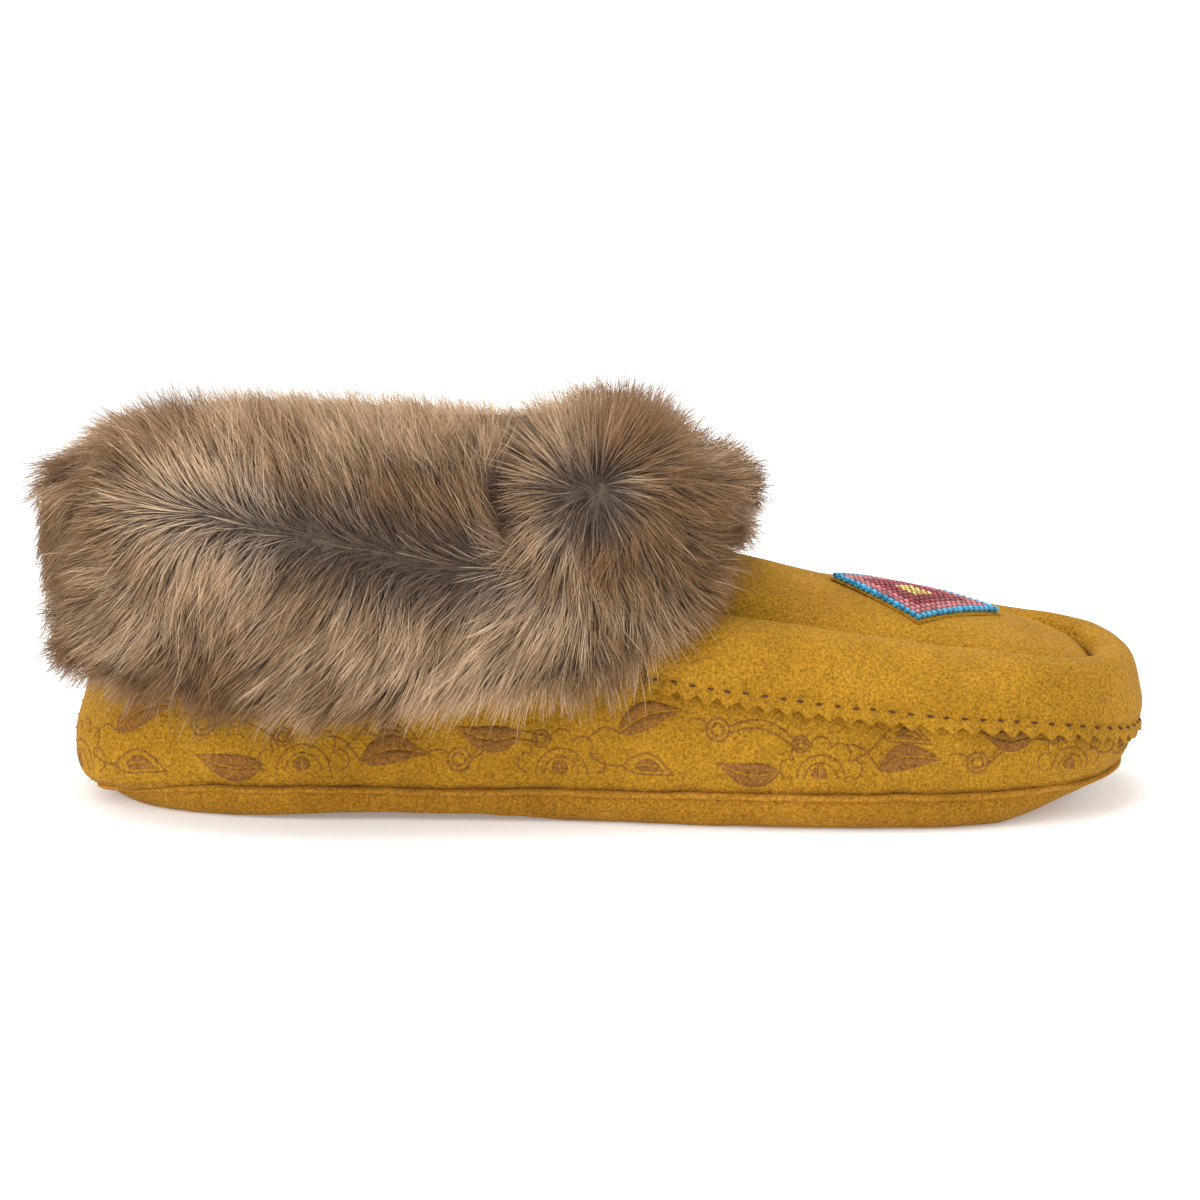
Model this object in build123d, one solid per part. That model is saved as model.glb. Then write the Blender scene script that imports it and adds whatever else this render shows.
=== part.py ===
"""Fur-cuffed suede moccasin slipper, left foot, as separate pieces.

Millimetres. +X points to the toe, -Y is the inner (big toe) side, +Z is up.
The origin is under the middle of the whole slipper, on the floor.
"""
from build123d import *
import math
import os

os.makedirs("parts", exist_ok=True)

# ---------------------------------------------------------------- driving sizes
SUEDE = 1.6                 # side wall and outsole suede
ROLL_SKIN = 1.4             # suede of the padded roll round the toe
LINING = 4.0                # fleece lining of the walls
CLEAR = 0.4                 # air between neighbouring soft layers
SOLE_SKIN = 2.0             # outsole suede under the foot
BOARD = 1.4                 # fibre insole board
FOAM = 4.0                  # footbed foam
FLEECE = 4.0                # footbed fleece
BOARD_BOTTOM = 9.6          # underside of the insole board
COLLAR_TOP = 84.0           # top edge of wall and lining at the ankle
WELT = 1.0                  # welt strip thickness
RIDGE_TOE_Z = 37.3          # top of the roll at the toe tip
RIDGE_SLOPE = 0.13          # rise of the roll per mm towards the heel
RIDGE_TOE_X = 131.0
CREASE_IN = 5.5             # crease lies this far inside the ridge
CREASE_DROP = 2.7           # and this far below it
ROLL_BACK_X = 14.0          # where the roll and plug end under the fur
PLUG_HALF = 28.0            # half width of the vamp plug
SHEET_HALF = 34.0           # half width of the crowned sheets before they are cut to shape
SHEET_START = 4.0           # and their ends along the shoe
SHEET_END = 134.0

# Sole seam seen from above, counter-clockwise from the heel: the near points
# have negative y and are the big toe side.
SEAM_PLAN = [
    (-122.0, 0.0), (-113.0, -24.0), (-88.0, -35.5), (-45.0, -38.5), (0.0, -41.5),
    (40.0, -46.5), (72.0, -48.0), (104.0, -42.5), (124.0, -27.0), (131.5, -5.0),
    (126.0, 17.0), (106.0, 36.0), (72.0, 46.5), (35.0, 48.5), (-5.0, 45.5),
    (-50.0, 40.0), (-88.0, 36.0), (-113.0, 24.0),
]
# Collar edge of the shaft seen from above, same direction.
COLLAR_PLAN = [
    (-119.0, 0.0), (-110.0, -20.0), (-85.0, -30.5), (-45.0, -32.5), (-8.0, -31.5),
    (12.0, -24.5), (22.0, -12.0), (25.0, 0.0), (22.0, 12.0), (12.0, 25.5),
    (-8.0, 33.5), (-45.0, 34.0), (-85.0, 31.0), (-110.0, 20.0),
]
# Outward growth of the upper from the sole seam: height, heel, side, throat, toe.
UPPER_LEVELS = [
    (1.0, -1.6, -1.2, -1.2, -2.4),
    (8.0, 6.8, 0.0, 0.0, 0.8),
    (14.0, 7.3, 1.3, 1.3, 4.0),
    (22.0, 4.4, 1.0, 1.0, 4.3),
    (33.0, 2.6, -0.8, -1.0, 2.6),
    (50.0, 2.0, -3.6, -7.0, -2.0),
    (70.0, 0.6, -5.4, -13.0, -6.0),
    (90.0, -3.4, -6.0, -16.0, -8.0),
]
OUTSOLE_LEVELS = [
    (0.0, -4.2, -3.4, -3.4, -13.0),
    (1.6, -1.6, -1.0, -1.0, -7.0),
    (5.0, 0.4, 0.8, 0.8, -1.6),
    (11.0, 0.6, 0.0, 0.0, 0.6),
]
CAVITY_LEVELS = [
    (SOLE_SKIN, -4.4, -4.0, -4.0, -12.0),
    (4.0, -2.8, -2.4, -2.4, -6.0),
    (11.0, -2.8, -2.2, -2.2, -2.6),
]
# Height of the sole seam along the shoe (x, z).
SEAM_HEIGHT = [(-140.0, 2.4), (-122.0, 3.0), (-106.0, 6.0), (-88.0, 7.8), (-20.0, 8.0),
               (70.0, 9.0), (110.0, 8.6), (145.0, 7.6)]
# Top edge of the side wall along the shoe (x, z).
WALL_TOP = [(-145.0, COLLAR_TOP), (-60.0, COLLAR_TOP - 2.0), (-8.0, COLLAR_TOP - 2.0),
            (8.0, 70.0), (18.0, 48.0), (32.0, 37.0), (60.0, 33.4), (90.0, 30.2),
            (112.0, 26.6), (145.0, 18.0)]
# Crown line of the vamp plug (x, z).
PLUG_CREST = [(0.0, 68.0), (20.0, 62.6), (44.0, 56.0), (63.0, 51.5), (82.0, 47.5),
              (102.0, 43.0), (126.0, 35.6), (140.0, 31.5)]

SECTIONS = 44               # points on each closed outline


# ---------------------------------------------------------------- small helpers
def ease(value, start, end):
    """0 before start, 1 after end, smooth between."""
    t = min(max((value - start) / (end - start), 0.0), 1.0)
    return t * t * (3.0 - 2.0 * t)


def along(knots, x, column=1):
    """Smooth height read from a list of knots at x."""
    if x <= knots[0][0]:
        return knots[0][column]
    for i in range(len(knots) - 1):
        x0, x1 = knots[i][0], knots[i + 1][0]
        if x > x1:
            continue
        before = knots[max(i - 1, 0)]
        after = knots[min(i + 2, len(knots) - 1)]
        y0, y1 = knots[i][column], knots[i + 1][column]
        slope0 = (y1 - before[column]) / (x1 - before[0])
        slope1 = (after[column] - y0) / (after[0] - x0)
        t = (x - x0) / (x1 - x0)
        span = x1 - x0
        return ((2 * t**3 - 3 * t**2 + 1) * y0 + (t**3 - 2 * t**2 + t) * span * slope0
                + (3 * t**2 - 2 * t**3) * y1 + (t**3 - t**2) * span * slope1)
    return knots[-1][column]


def growth(levels, x, z):
    """Outward growth from the sole seam at station x and height z."""
    heel = along(levels, z, 1)
    side = along(levels, z, 2)
    throat = along(levels, z, 3)
    toe = along(levels, z, 4)
    body = side + (throat - side) * ease(x, -35.0, 20.0)
    body += (heel - body) * ease(-x, 92.0, 121.0)
    return body + (toe - body) * ease(x, 96.0, 130.0)


seam = Edge.make_spline([Vector(x, y) for x, y in SEAM_PLAN], periodic=True)
collar = Edge.make_spline([Vector(x, y) for x, y in COLLAR_PLAN], periodic=True)


def station(path, u):
    """Point on a plan path and its outward normal."""
    point = path.position_at(u % 1.0)
    tangent = path.tangent_at(u % 1.0)
    return point, Vector(tangent.Y, -tangent.X)


def find_station(path, x, near):
    """Path parameter where the near or far side passes x."""
    low, high = (0.02, 0.48) if near else (0.52, 0.98)
    for _ in range(40):
        mid = (low + high) / 2
        if (path.position_at(mid).X < x) == near:
            low = mid
        else:
            high = mid
    return (low + high) / 2


def ring(levels, z, extra=0.0):
    """Closed outline of a family of levels at one height."""
    points = []
    for i in range(SECTIONS):
        point, normal = station(seam, i / SECTIONS)
        points.append(point + normal * (growth(levels, point.X, z) + extra) + Vector(0, 0, z))
    return Wire([Edge.make_spline(points, periodic=True)])


def body(levels, heights, extra=0.0):
    """Solid lofted through the outlines of a family of levels."""
    return Solid.make_loft([ring(levels, z, extra) for z in heights])


def side_slab(lower, upper, reach=90.0):
    """Solid between two side-view curves, as wide as the shoe and more."""
    bottom = Spline([(x, z) for x, z in lower])
    top = Spline([(x, z) for x, z in upper])
    left = Line(bottom @ 0, top @ 0)
    right = Line(bottom @ 1, top @ 1)
    face = make_face([bottom, right, top, left])
    return extrude(Plane.XZ * face, amount=reach, both=True)


def raised(knots, lift):
    """Side-view curve moved up."""
    return [(x, z + lift) for x, z in knots]


def level_line(z):
    return [(-150.0, z), (0.0, z), (150.0, z)]


def clipped(shape, lower, upper):
    """Part of a solid between two side-view curves."""
    return shape & side_slab(lower, upper)


# ---------------------------------------------------------------- sole
ARCH_CENTRE_X = -46.0
ARCH_HALF = 40.0
ARCH_RISE = 2.2


def arch_cutter():
    """Cylinder that lifts the waist of the outsole off the floor."""
    radius = (ARCH_HALF**2 + ARCH_RISE**2) / (2 * ARCH_RISE)
    place = Pos(ARCH_CENTRE_X, 0, ARCH_RISE - radius) * Rot(90, 0, 0)
    return place * Cylinder(radius, 200)


def make_outsole():
    """Moulded suede tray whose rim follows the sole seam."""
    outer = body(OUTSOLE_LEVELS, [0.0, 0.6, 1.6, 3.2, 5.0, 8.0, 11.0])
    cavity = body(CAVITY_LEVELS, [SOLE_SKIN + ARCH_RISE * 0.5, 4.0, 7.0, 11.0])
    shell = outer - cavity - arch_cutter()
    return clipped(shell, level_line(-5), raised(SEAM_HEIGHT, -WELT - 0.05))


def make_midsole():
    """Foam that fills the outsole under the insole board."""
    return body(CAVITY_LEVELS, [SOLE_SKIN + ARCH_RISE * 0.5, 4.0, 7.0, BOARD_BOTTOM - 0.2], -0.1)


def flat_band(outer_growth, inner_growth, bottom, top):
    """Ring of constant width along the sole seam, between two side-view curves."""
    def outline(extra):
        points = []
        for i in range(SECTIONS):
            point, normal = station(seam, i / SECTIONS)
            points.append(point + normal * extra)
        return Face(Wire([Edge.make_spline(points, periodic=True)]))
    band = extrude(outline(outer_growth), amount=14) - extrude(outline(inner_growth), amount=14)
    return clipped(band, bottom, top)


def make_welt():
    """Raw edge of the seam between wall and outsole."""
    return flat_band(2.0, -1.2, raised(SEAM_HEIGHT, -WELT), raised(SEAM_HEIGHT, -0.05))


def rod(start, end, radius):
    """Round thread or stitch between two points."""
    axis = end - start
    return Solid.make_cylinder(radius, axis.length, Plane(start, z_dir=axis))


def make_sole_stitches(pitch=4.6, length=2.4, radius=0.32):
    """Stitches just above the sole seam, all the way round."""
    count = round(seam.length / pitch)
    rods = []
    for i in range(count):
        point, normal = station(seam, i / count)
        z = along(SEAM_HEIGHT, point.X) + 1.5
        place = point + normal * (growth(UPPER_LEVELS, point.X, z) + 0.62) + Vector(0, 0, z)
        run = Vector(-normal.Y, normal.X) * (length / 2)
        rods.append(rod(place - run, place + run, radius))
    return Compound(children=rods)


# ---------------------------------------------------------------- walls and lining
FLOOR_TOP = BOARD_BOTTOM + BOARD + FOAM + FLEECE
LINING_OUT = SUEDE + 1.8
WALL_RISES = (0.0, 0.06, 0.14, 0.28, 0.58, 1.0)     # heights read up the wall, as shares


def wall_face(u, depth, low, high):
    """Points up one face of the upper, depth below its outside."""
    point, normal = station(seam, u)
    points = []
    for rise in WALL_RISES:
        z = low + (high - low) * rise
        points.append(point + normal * (growth(UPPER_LEVELS, point.X, z) - depth) + Vector(0, 0, z))
    return points


def wall_layer(outside, inside, low_line, high_line, start, end, count):
    """Layer of the upper along the sole seam, lofted section by section."""
    wires = []
    for i in range(count):
        u = start + (end - start) * i / (count - 1)
        x = station(seam, u)[0].X
        low = along(low_line, x)
        high = along(high_line, x)
        outer = wall_face(u, outside, low, high)
        inner = wall_face(u, inside, low, high)
        wires.append(Wire([
            Edge.make_spline(outer),
            Edge.make_line(outer[-1], inner[-1]),
            Edge.make_spline(list(reversed(inner))),
            Edge.make_line(inner[0], outer[0]),
        ]))
    return Solid.make_loft(wires)


def make_side_wall():
    """One wrap of suede that starts and ends at the heel seam."""
    return wall_layer(0.0, SUEDE, SEAM_HEIGHT, WALL_TOP, 0.0006, 0.9994, 49)


def make_side_lining():
    bottom = level_line(FLOOR_TOP + 0.3)
    return wall_layer(LINING_OUT, LINING_OUT + LINING - 0.6, bottom, raised(WALL_TOP, -1.0),
                      0.0008, 0.9992, 49)


def make_heel_counter():
    bottom = level_line(BOARD_BOTTOM + 2)
    return wall_layer(SUEDE + 0.2, SUEDE + 1.5, bottom, level_line(58), -0.12, 0.12, 17)


def floor_layer(bottom, thickness, inset):
    """Flat layer of the footbed inside the walls."""
    points = []
    for i in range(SECTIONS):
        point, normal = station(seam, i / SECTIONS)
        points.append(point + normal * (-inset) + Vector(0, 0, bottom))
    return extrude(Face(Wire([Edge.make_spline(points, periodic=True)])), amount=thickness)


# ---------------------------------------------------------------- toe roll and plug
def pinked_z(x):
    """Height of the roll's lower, pinked edge."""
    return 28.3 - 0.11 * (x - 70.0) - 6.0 * max((x - 100.0) / 37.0, 0.0) ** 2


def ridge_z(x):
    """Height of the top of the roll."""
    return RIDGE_TOE_Z + RIDGE_SLOPE * (RIDGE_TOE_X - x)


def ridge_inset(x):
    """How far the top of the roll lies inside the sole seam."""
    return 15.0 - 14.0 * ease(x, 100.0, 131.0)


def roll_offset(x, z, skin):
    """Outward place of the roll's face at height z, skin deep under its outside."""
    low = pinked_z(x)
    high = ridge_z(x)
    crown = -ridge_inset(x)
    foot = growth(UPPER_LEVELS, x, low) + CLEAR + ROLL_SKIN
    power = 2.0 + 0.7 * ease(x, 96.0, 130.0)
    t = min(max((z - low) / (high - low), 0.0), 1.0)
    return crown + (foot - crown) * (1.0 - t**power) ** (1.0 / power) - skin


def roll_face(u, skin, low_lift=0.0):
    """Points of one face of the roll at a station, from pinked edge to crease."""
    point, normal = station(seam, u)
    x = point.X
    low = pinked_z(x) + low_lift
    high = ridge_z(x)
    places = []
    for t in (0.0, 0.3, 0.58, 0.8, 0.94):
        z = low + (high - low) * t
        places.append((roll_offset(x, z, skin), z - skin * 0.8 * t**3))
    places.append((-ridge_inset(x), high - skin))
    places.append((-ridge_inset(x) - CREASE_IN * 0.55, high - 0.7 - skin))
    places.append((-ridge_inset(x) - CREASE_IN, high - CREASE_DROP - skin * 0.7))
    return [point + normal * out + Vector(0, 0, z) for out, z in places]


def roll_stations(count):
    start = find_station(seam, ROLL_BACK_X, True)
    end = find_station(seam, ROLL_BACK_X, False)
    return [start + (end - start) * i / (count - 1) for i in range(count)]


def roll_layer(outer_skin, inner_skin, low_lift=0.0, count=23):
    wires = []
    for u in roll_stations(count):
        outer = roll_face(u, outer_skin, low_lift)
        inner = roll_face(u, inner_skin, low_lift)
        edges = [
            Edge.make_spline(outer),
            Edge.make_line(outer[-1], inner[-1]),
            Edge.make_spline(list(reversed(inner))),
            Edge.make_line(inner[0], outer[0]),
        ]
        wires.append(Wire(edges))
    return Solid.make_loft(wires)


def make_toe_roll():
    return roll_layer(0.0, ROLL_SKIN)


def make_roll_padding():
    return roll_layer(ROLL_SKIN + 0.3, ROLL_SKIN + 3.2, low_lift=5.5)


def plug_z(x, y):
    """Outer face of the crowned vamp plug."""
    edge = ridge_z(x) - CREASE_DROP
    return edge + (along(PLUG_CREST, x) - edge) * (1.0 - (y / PLUG_HALF) ** 2)


def crown_layer(drop, thickness, count=8):
    """Wide crowned sheet, drop below the plug's outer face."""
    wires = []
    for i in range(count):
        x = SHEET_START + (SHEET_END - SHEET_START) * i / (count - 1)
        top = [Vector(x, y, plug_z(x, y) - drop) for y in (-SHEET_HALF, 0.0, SHEET_HALF)]
        low = [point - Vector(0, 0, thickness) for point in top]
        edges = [
            Edge.make_three_point_arc(*top),
            Edge.make_line(top[2], low[2]),
            Edge.make_three_point_arc(*reversed(low)),
            Edge.make_line(low[0], top[0]),
        ]
        wires.append(Wire(edges))
    return Solid.make_loft(wires)


def crease_outline(gap):
    """Prism inside the roll's crease, seen from above."""
    points = []
    for u in roll_stations(21):
        point, normal = station(seam, u)
        place = point + normal * (-ridge_inset(point.X) - CREASE_IN - gap)
        points.append(place)
    front = Edge.make_spline(points)
    back_near = points[0] + Vector(-6, 1, 0)
    back_far = points[-1] + Vector(-6, -1, 0)
    edges = [front, Edge.make_line(points[-1], back_far),
             Edge.make_line(back_far, back_near), Edge.make_line(back_near, points[0])]
    return extrude(Face(Wire(edges)), amount=100)


def make_vamp_plug():
    return crown_layer(0.0, SUEDE) & crease_outline(0.3)


def make_plug_lining():
    return crown_layer(SUEDE + 1.8, 2.4) & crease_outline(2.2)


def make_plug_thread(radius=0.3, pitch=5.2):
    """Whip stitches that join the plug to the roll along the crease."""
    rods = []
    stations = roll_stations(int(210 / pitch))
    for u in stations[1:-1]:
        point, normal = station(seam, u)
        x = point.X
        out = -ridge_inset(x) - CREASE_IN
        base = point + normal * out
        z = max(plug_z(base.X, base.Y), ridge_z(x) - CREASE_DROP) + 0.75
        rods.append(rod(base + normal * 0.9 + Vector(0, 0, z), base - normal * 0.9 + Vector(0, 0, z),
                        radius))
    return Compound(children=rods)


def make_apron_stitches(pitch=4.4, length=2.3, radius=0.34):
    """Short dark stitches above the pinked edge."""
    start, end = roll_stations(2)
    run_length = seam.length * (end - start)
    count = int(run_length / pitch)
    rods = []
    for i in range(1, count):
        point, normal = station(seam, start + (end - start) * i / count)
        x = point.X
        z = pinked_z(x) + 2.6
        place = point + normal * (roll_offset(x, z, 0.0) + 0.5) + Vector(0, 0, z)
        run = Vector(-normal.Y, normal.X) * (length / 2)
        rods.append(rod(place - run, place + run, radius))
    return Compound(children=rods)


# ---------------------------------------------------------------- bead diamond
BEAD_ROWS = 16              # beads along each side
BEAD_RADIUS = 0.72
BEAD_LENGTH = 1.24
BEAD_HOLE = 0.26
THREAD_RADIUS = 0.14
DIAMOND = [(61.5, 0.0), (81.0, -17.5), (101.5, 0.0), (79.0, 17.5)]
BACKING = 0.5


def diamond_place(i, j):
    """Bead centre on the plug for row i and column j of the diamond."""
    a = i / (BEAD_ROWS - 1)
    b = j / (BEAD_ROWS - 1)
    left, near, right, far = [Vector(x, y) for x, y in DIAMOND]
    plan = (left * (1 - a) * (1 - b) + near * a * (1 - b) + right * a * b + far * (1 - a) * b)
    return Vector(plan.X, plan.Y, plug_z(plan.X, plan.Y) + BACKING + 0.25 + BEAD_RADIUS)


def bead_colour(i, j):
    """Nested diamonds: blue outside, then pink, maroon and gold."""
    ring_number = min(i, j, BEAD_ROWS - 1 - i, BEAD_ROWS - 1 - j)
    if ring_number == 0:
        return "beads_blue"
    if ring_number <= 2:
        return "beads_pink"
    if ring_number <= 5:
        return "beads_maroon"
    return "beads_gold"


def make_bead(i, j):
    """Short glass tube with a hole along its row."""
    here = diamond_place(i, j)
    ahead = diamond_place(i, min(j + 1, BEAD_ROWS - 1)) - diamond_place(i, max(j - 1, 0))
    along_row = ahead.normalized()
    start = here - along_row * (BEAD_LENGTH / 2)
    plane = Plane(start, z_dir=along_row)
    outer = Solid.make_cylinder(BEAD_RADIUS, BEAD_LENGTH, plane)
    hole = Solid.make_cylinder(BEAD_HOLE, BEAD_LENGTH * 3, Plane(start - along_row * BEAD_LENGTH,
                                                                 z_dir=along_row))
    return (outer - hole).solid()


def make_beads():
    """All beads of the diamond, one part for each colour."""
    groups = {}
    for i in range(BEAD_ROWS):
        for j in range(BEAD_ROWS):
            groups.setdefault(bead_colour(i, j), []).append(make_bead(i, j))
    return {name: Compound(children=beads) for name, beads in groups.items()}


def make_bead_threads():
    """Threads through the beads, row by row."""
    threads = []
    for i in range(BEAD_ROWS):
        row = [diamond_place(i, j) for j in range(BEAD_ROWS)]
        for start, end in zip(row[:-1], row[1:]):
            threads.append(rod(start, start + (end - start) * 0.999, THREAD_RADIUS))
    return Compound(children=threads)


def make_bead_backing():
    """Thin felt under the beads, a little larger than the diamond."""
    corners = [Vector(x, y) for x, y in DIAMOND]
    middle = sum(corners, Vector()) * 0.25
    grown = [middle + (corner - middle) * 1.08 for corner in corners]
    prism = extrude(Face(Wire.make_polygon(grown, close=True)), amount=100)
    return crown_layer(-BACKING - 0.08, BACKING) & prism


# ---------------------------------------------------------------- cuff
PELT = 1.2
PELT_GAP = 1.4              # pelt leather stands this far off the wall
FOLD_DEPTH = 7.6            # the pelt folds in over wall and lining by this much
FOLD_TOP = COLLAR_TOP + 1.2
FOLD_LOW = 72.0             # inner end of the folded pelt
KNEE = 76.0                 # height where the pelt's outer face turns upright
HALF_GAP = 0.25             # each half of the cuff keeps this far from the middle
HEM = [(-140.0, 33.0), (-100.0, 31.0), (-62.0, 27.0), (-18.0, 33.0), (3.0, 38.0),
       (14.0, 47.0), (22.0, 60.0), (30.0, 64.0)]
FUR_TOP = [(-140.0, 92.0), (-100.0, 95.0), (-60.0, 94.0), (-24.0, 91.0), (-8.0, 95.0),
           (8.0, 98.0), (26.0, 95.0)]
FUR_DEPTH = [(-140.0, 14.5), (-100.0, 20.0), (-60.0, 23.5), (-22.0, 20.5), (0.0, 22.0),
             (14.0, 22.0), (22.0, 18.5), (30.0, 15.5)]


def skin_offset(x, z):
    """Outer face of the wall at height z, outward from the collar edge."""
    return growth(UPPER_LEVELS, min(x, 4.0), z) - growth(UPPER_LEVELS, min(x, 4.0), COLLAR_TOP)


def find_front():
    """Collar parameter of the front middle."""
    low, high = 0.4, 0.6
    for _ in range(40):
        mid = (low + high) / 2
        if collar.position_at(mid).Y < 0:
            low = mid
        else:
            high = mid
    return low


def cuff_stations(near, count, start=0.0, end=1.0):
    """Path parameters along one half of the collar, from heel to front."""
    heel = 0.0 if near else 1.0
    front = find_front()
    return [heel + (front - heel) * (start + (end - start) * i / (count - 1)) for i in range(count)]


def collar_section(u, places, side):
    """Points at a collar station from (outward, height) places."""
    point, normal = station(collar, u)
    base = point + Vector(0, side * HALF_GAP, 0)
    return [base + normal * out + Vector(0, 0, z) for out, z in places]


def make_pelt(near):
    """Leather of one half of the cuff, folded over the collar edge."""
    side = -1.0 if near else 1.0
    wires = []
    for u in cuff_stations(near, 15):
        x = station(collar, u)[0].X
        low = max(along(HEM, x) + 8.0, 66.0 if x > 15 else 0.0)
        foot = skin_offset(x, low) + PELT_GAP
        knee = skin_offset(x, KNEE - 2.0) + PELT_GAP
        outer_face = [(foot + PELT, low), (knee + PELT, KNEE), (PELT_GAP + PELT, FOLD_TOP + PELT),
                      (-FOLD_DEPTH - PELT, FOLD_TOP + PELT), (-FOLD_DEPTH - PELT, FOLD_LOW)]
        inner_face = [(-FOLD_DEPTH, FOLD_LOW), (-FOLD_DEPTH, FOLD_TOP), (PELT_GAP, FOLD_TOP),
                      (knee, KNEE), (foot, low)]
        points = collar_section(u, outer_face + inner_face, side)
        wires.append(Wire.make_polygon(points, close=True))
    return Solid.make_loft(wires, ruled=True)


def make_fur(near, start, end, count):
    """Pile of one stretch of the cuff, as one soft rounded solid."""
    side = -1.0 if near else 1.0
    wires = []
    for u in cuff_stations(near, count, start, end):
        x = station(collar, u)[0].X
        hem = along(HEM, x)
        top = along(FUR_TOP, x) - (0.0 if near else 1.6)
        depth = along(FUR_DEPTH, x)
        foot = skin_offset(x, hem) + PELT_GAP + PELT + CLEAR
        knee = skin_offset(x, KNEE) + PELT_GAP + PELT + CLEAR
        lip = (-FOLD_DEPTH - 1.0, FOLD_TOP + PELT + 0.6)
        outer = [
            (foot, hem + 7.0), (foot + depth * 0.25, hem), (max(depth * 0.8, foot + 5.0), hem + 6.0),
            (depth, hem + (top - hem) * 0.42), (depth * 0.92, hem + (top - hem) * 0.7),
            (depth * 0.62, top - 4.0), (depth * 0.2, top), (1.6 - FOLD_DEPTH, top - 1.5), lip,
        ]
        inner = [lip, (knee, lip[1]), (knee, KNEE), (foot, hem + 7.0)]
        outer_points = collar_section(u, outer, side)
        inner_points = collar_section(u, inner, side)
        edges = [Edge.make_spline(outer_points)]
        for a, b in zip(inner_points[:-1], inner_points[1:]):
            edges.append(Edge.make_line(a, b))
        wires.append(Wire(edges))
    return Solid.make_loft(wires)


def forefoot_envelope(grow=0.8):
    """Filled forefoot, a little larger than the roll and plug, to keep the fur off it."""
    wires = []
    for x in (-14.0, -2.0, 8.0, 20.0, 32.0, 46.0, 60.0):
        near = station(seam, find_station(seam, x, True))[0].Y
        far = station(seam, find_station(seam, x, False))[0].Y
        low = pinked_z(x)
        high = ridge_z(x)
        crest = along(PLUG_CREST, x)
        points = []
        for sign, edge in ((-1.0, -near), (1.0, far)):
            half = []
            for t in (0.0, 0.3, 0.6, 0.85):
                z = low + (high - low) * t
                half.append(Vector(x, sign * (edge + roll_offset(x, z, 0.0) + grow), z))
            half.append(Vector(x, sign * (edge - 15.0), high + grow))
            half.append(Vector(x, sign * 14.0, crest - 0.25 * (crest - high) + grow + 1.0))
            points.append(half)
        arch = points[0] + [Vector(x, 0, crest + grow + 1.0)] + list(reversed(points[1]))
        foot_far = Vector(x, arch[-1].Y, 15.0)
        foot_near = Vector(x, arch[0].Y, 15.0)
        wires.append(Wire([Edge.make_spline(arch), Edge.make_line(arch[-1], foot_far),
                           Edge.make_line(foot_far, foot_near), Edge.make_line(foot_near, arch[0])]))
    return Solid.make_loft(wires)


def make_heel_thread(pitch=4.0, radius=0.35):
    """Stitches down the back seam of the side wall."""
    rods = []
    z = 12.0
    while z < 30.0:
        out = growth(UPPER_LEVELS, -122.0, z) + 0.7
        place = Vector(-122.0 - out, 0, z)
        rods.append(rod(place - Vector(0, 1.1, 0), place + Vector(0, 1.1, 0), radius))
        z += pitch
    return Compound(children=rods)


# ---------------------------------------------------------------- assembly
def build():
    parts = {}
    parts["outsole"] = make_outsole()
    parts["midsole_foam"] = make_midsole()
    parts["sole_welt"] = make_welt()
    parts["sole_seam_thread"] = make_sole_stitches()
    parts["insole_board"] = floor_layer(BOARD_BOTTOM, BOARD, 3.6)
    parts["footbed_foam"] = floor_layer(BOARD_BOTTOM + BOARD + 0.05, FOAM - 0.1, 4.6)
    parts["footbed_fleece"] = floor_layer(BOARD_BOTTOM + BOARD + FOAM, FLEECE, 4.6)
    parts["side_wall"] = make_side_wall()
    parts["heel_seam_thread"] = make_heel_thread()
    parts["heel_counter"] = make_heel_counter()
    parts["lining_sides"] = make_side_lining()
    parts["toe_roll"] = make_toe_roll()
    parts["toe_roll_padding"] = make_roll_padding()
    parts["vamp_plug"] = make_vamp_plug()
    parts["lining_vamp"] = make_plug_lining()
    parts["plug_seam_thread"] = make_plug_thread()
    parts["apron_stitches"] = make_apron_stitches()
    parts["bead_backing"] = make_bead_backing()
    parts["bead_threads"] = make_bead_threads()
    parts.update(make_beads())
    envelope = forefoot_envelope()
    for near, name in ((True, "near"), (False, "far")):
        parts["cuff_pelt_" + name] = make_pelt(near) - envelope
        parts["fur_heel_" + name] = make_fur(near, 0.0, 0.2, 5)
        parts["fur_side_" + name] = make_fur(near, 0.204, 0.66, 8)
        parts["fur_lobe_" + name] = make_fur(near, 0.664, 1.0, 9) - envelope
    return parts


def main():
    parts = build()
    boxes = [shape.bounding_box() for shape in parts.values()]
    low_x, high_x = min(b.min.X for b in boxes), max(b.max.X for b in boxes)
    low_y, high_y = min(b.min.Y for b in boxes), max(b.max.Y for b in boxes)
    low_z, high_z = min(b.min.Z for b in boxes), max(b.max.Z for b in boxes)
    shift = Pos(-(low_x + high_x) / 2, -(low_y + high_y) / 2, -low_z)
    for name, shape in parts.items():
        export_step(shift * shape, os.path.join("parts", name + ".step"))
    print("size", round(high_x - low_x, 1), round(high_y - low_y, 1), round(high_z - low_z, 1))


if __name__ == "__main__":
    main()
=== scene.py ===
"""Looks of the fur-cuffed suede moccasin: suede, print, stitching, beadwork and fur."""
import math
import random

import bmesh
import bpy
import numpy as np
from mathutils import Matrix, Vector, noise
from mathutils.bvhtree import BVHTree


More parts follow.
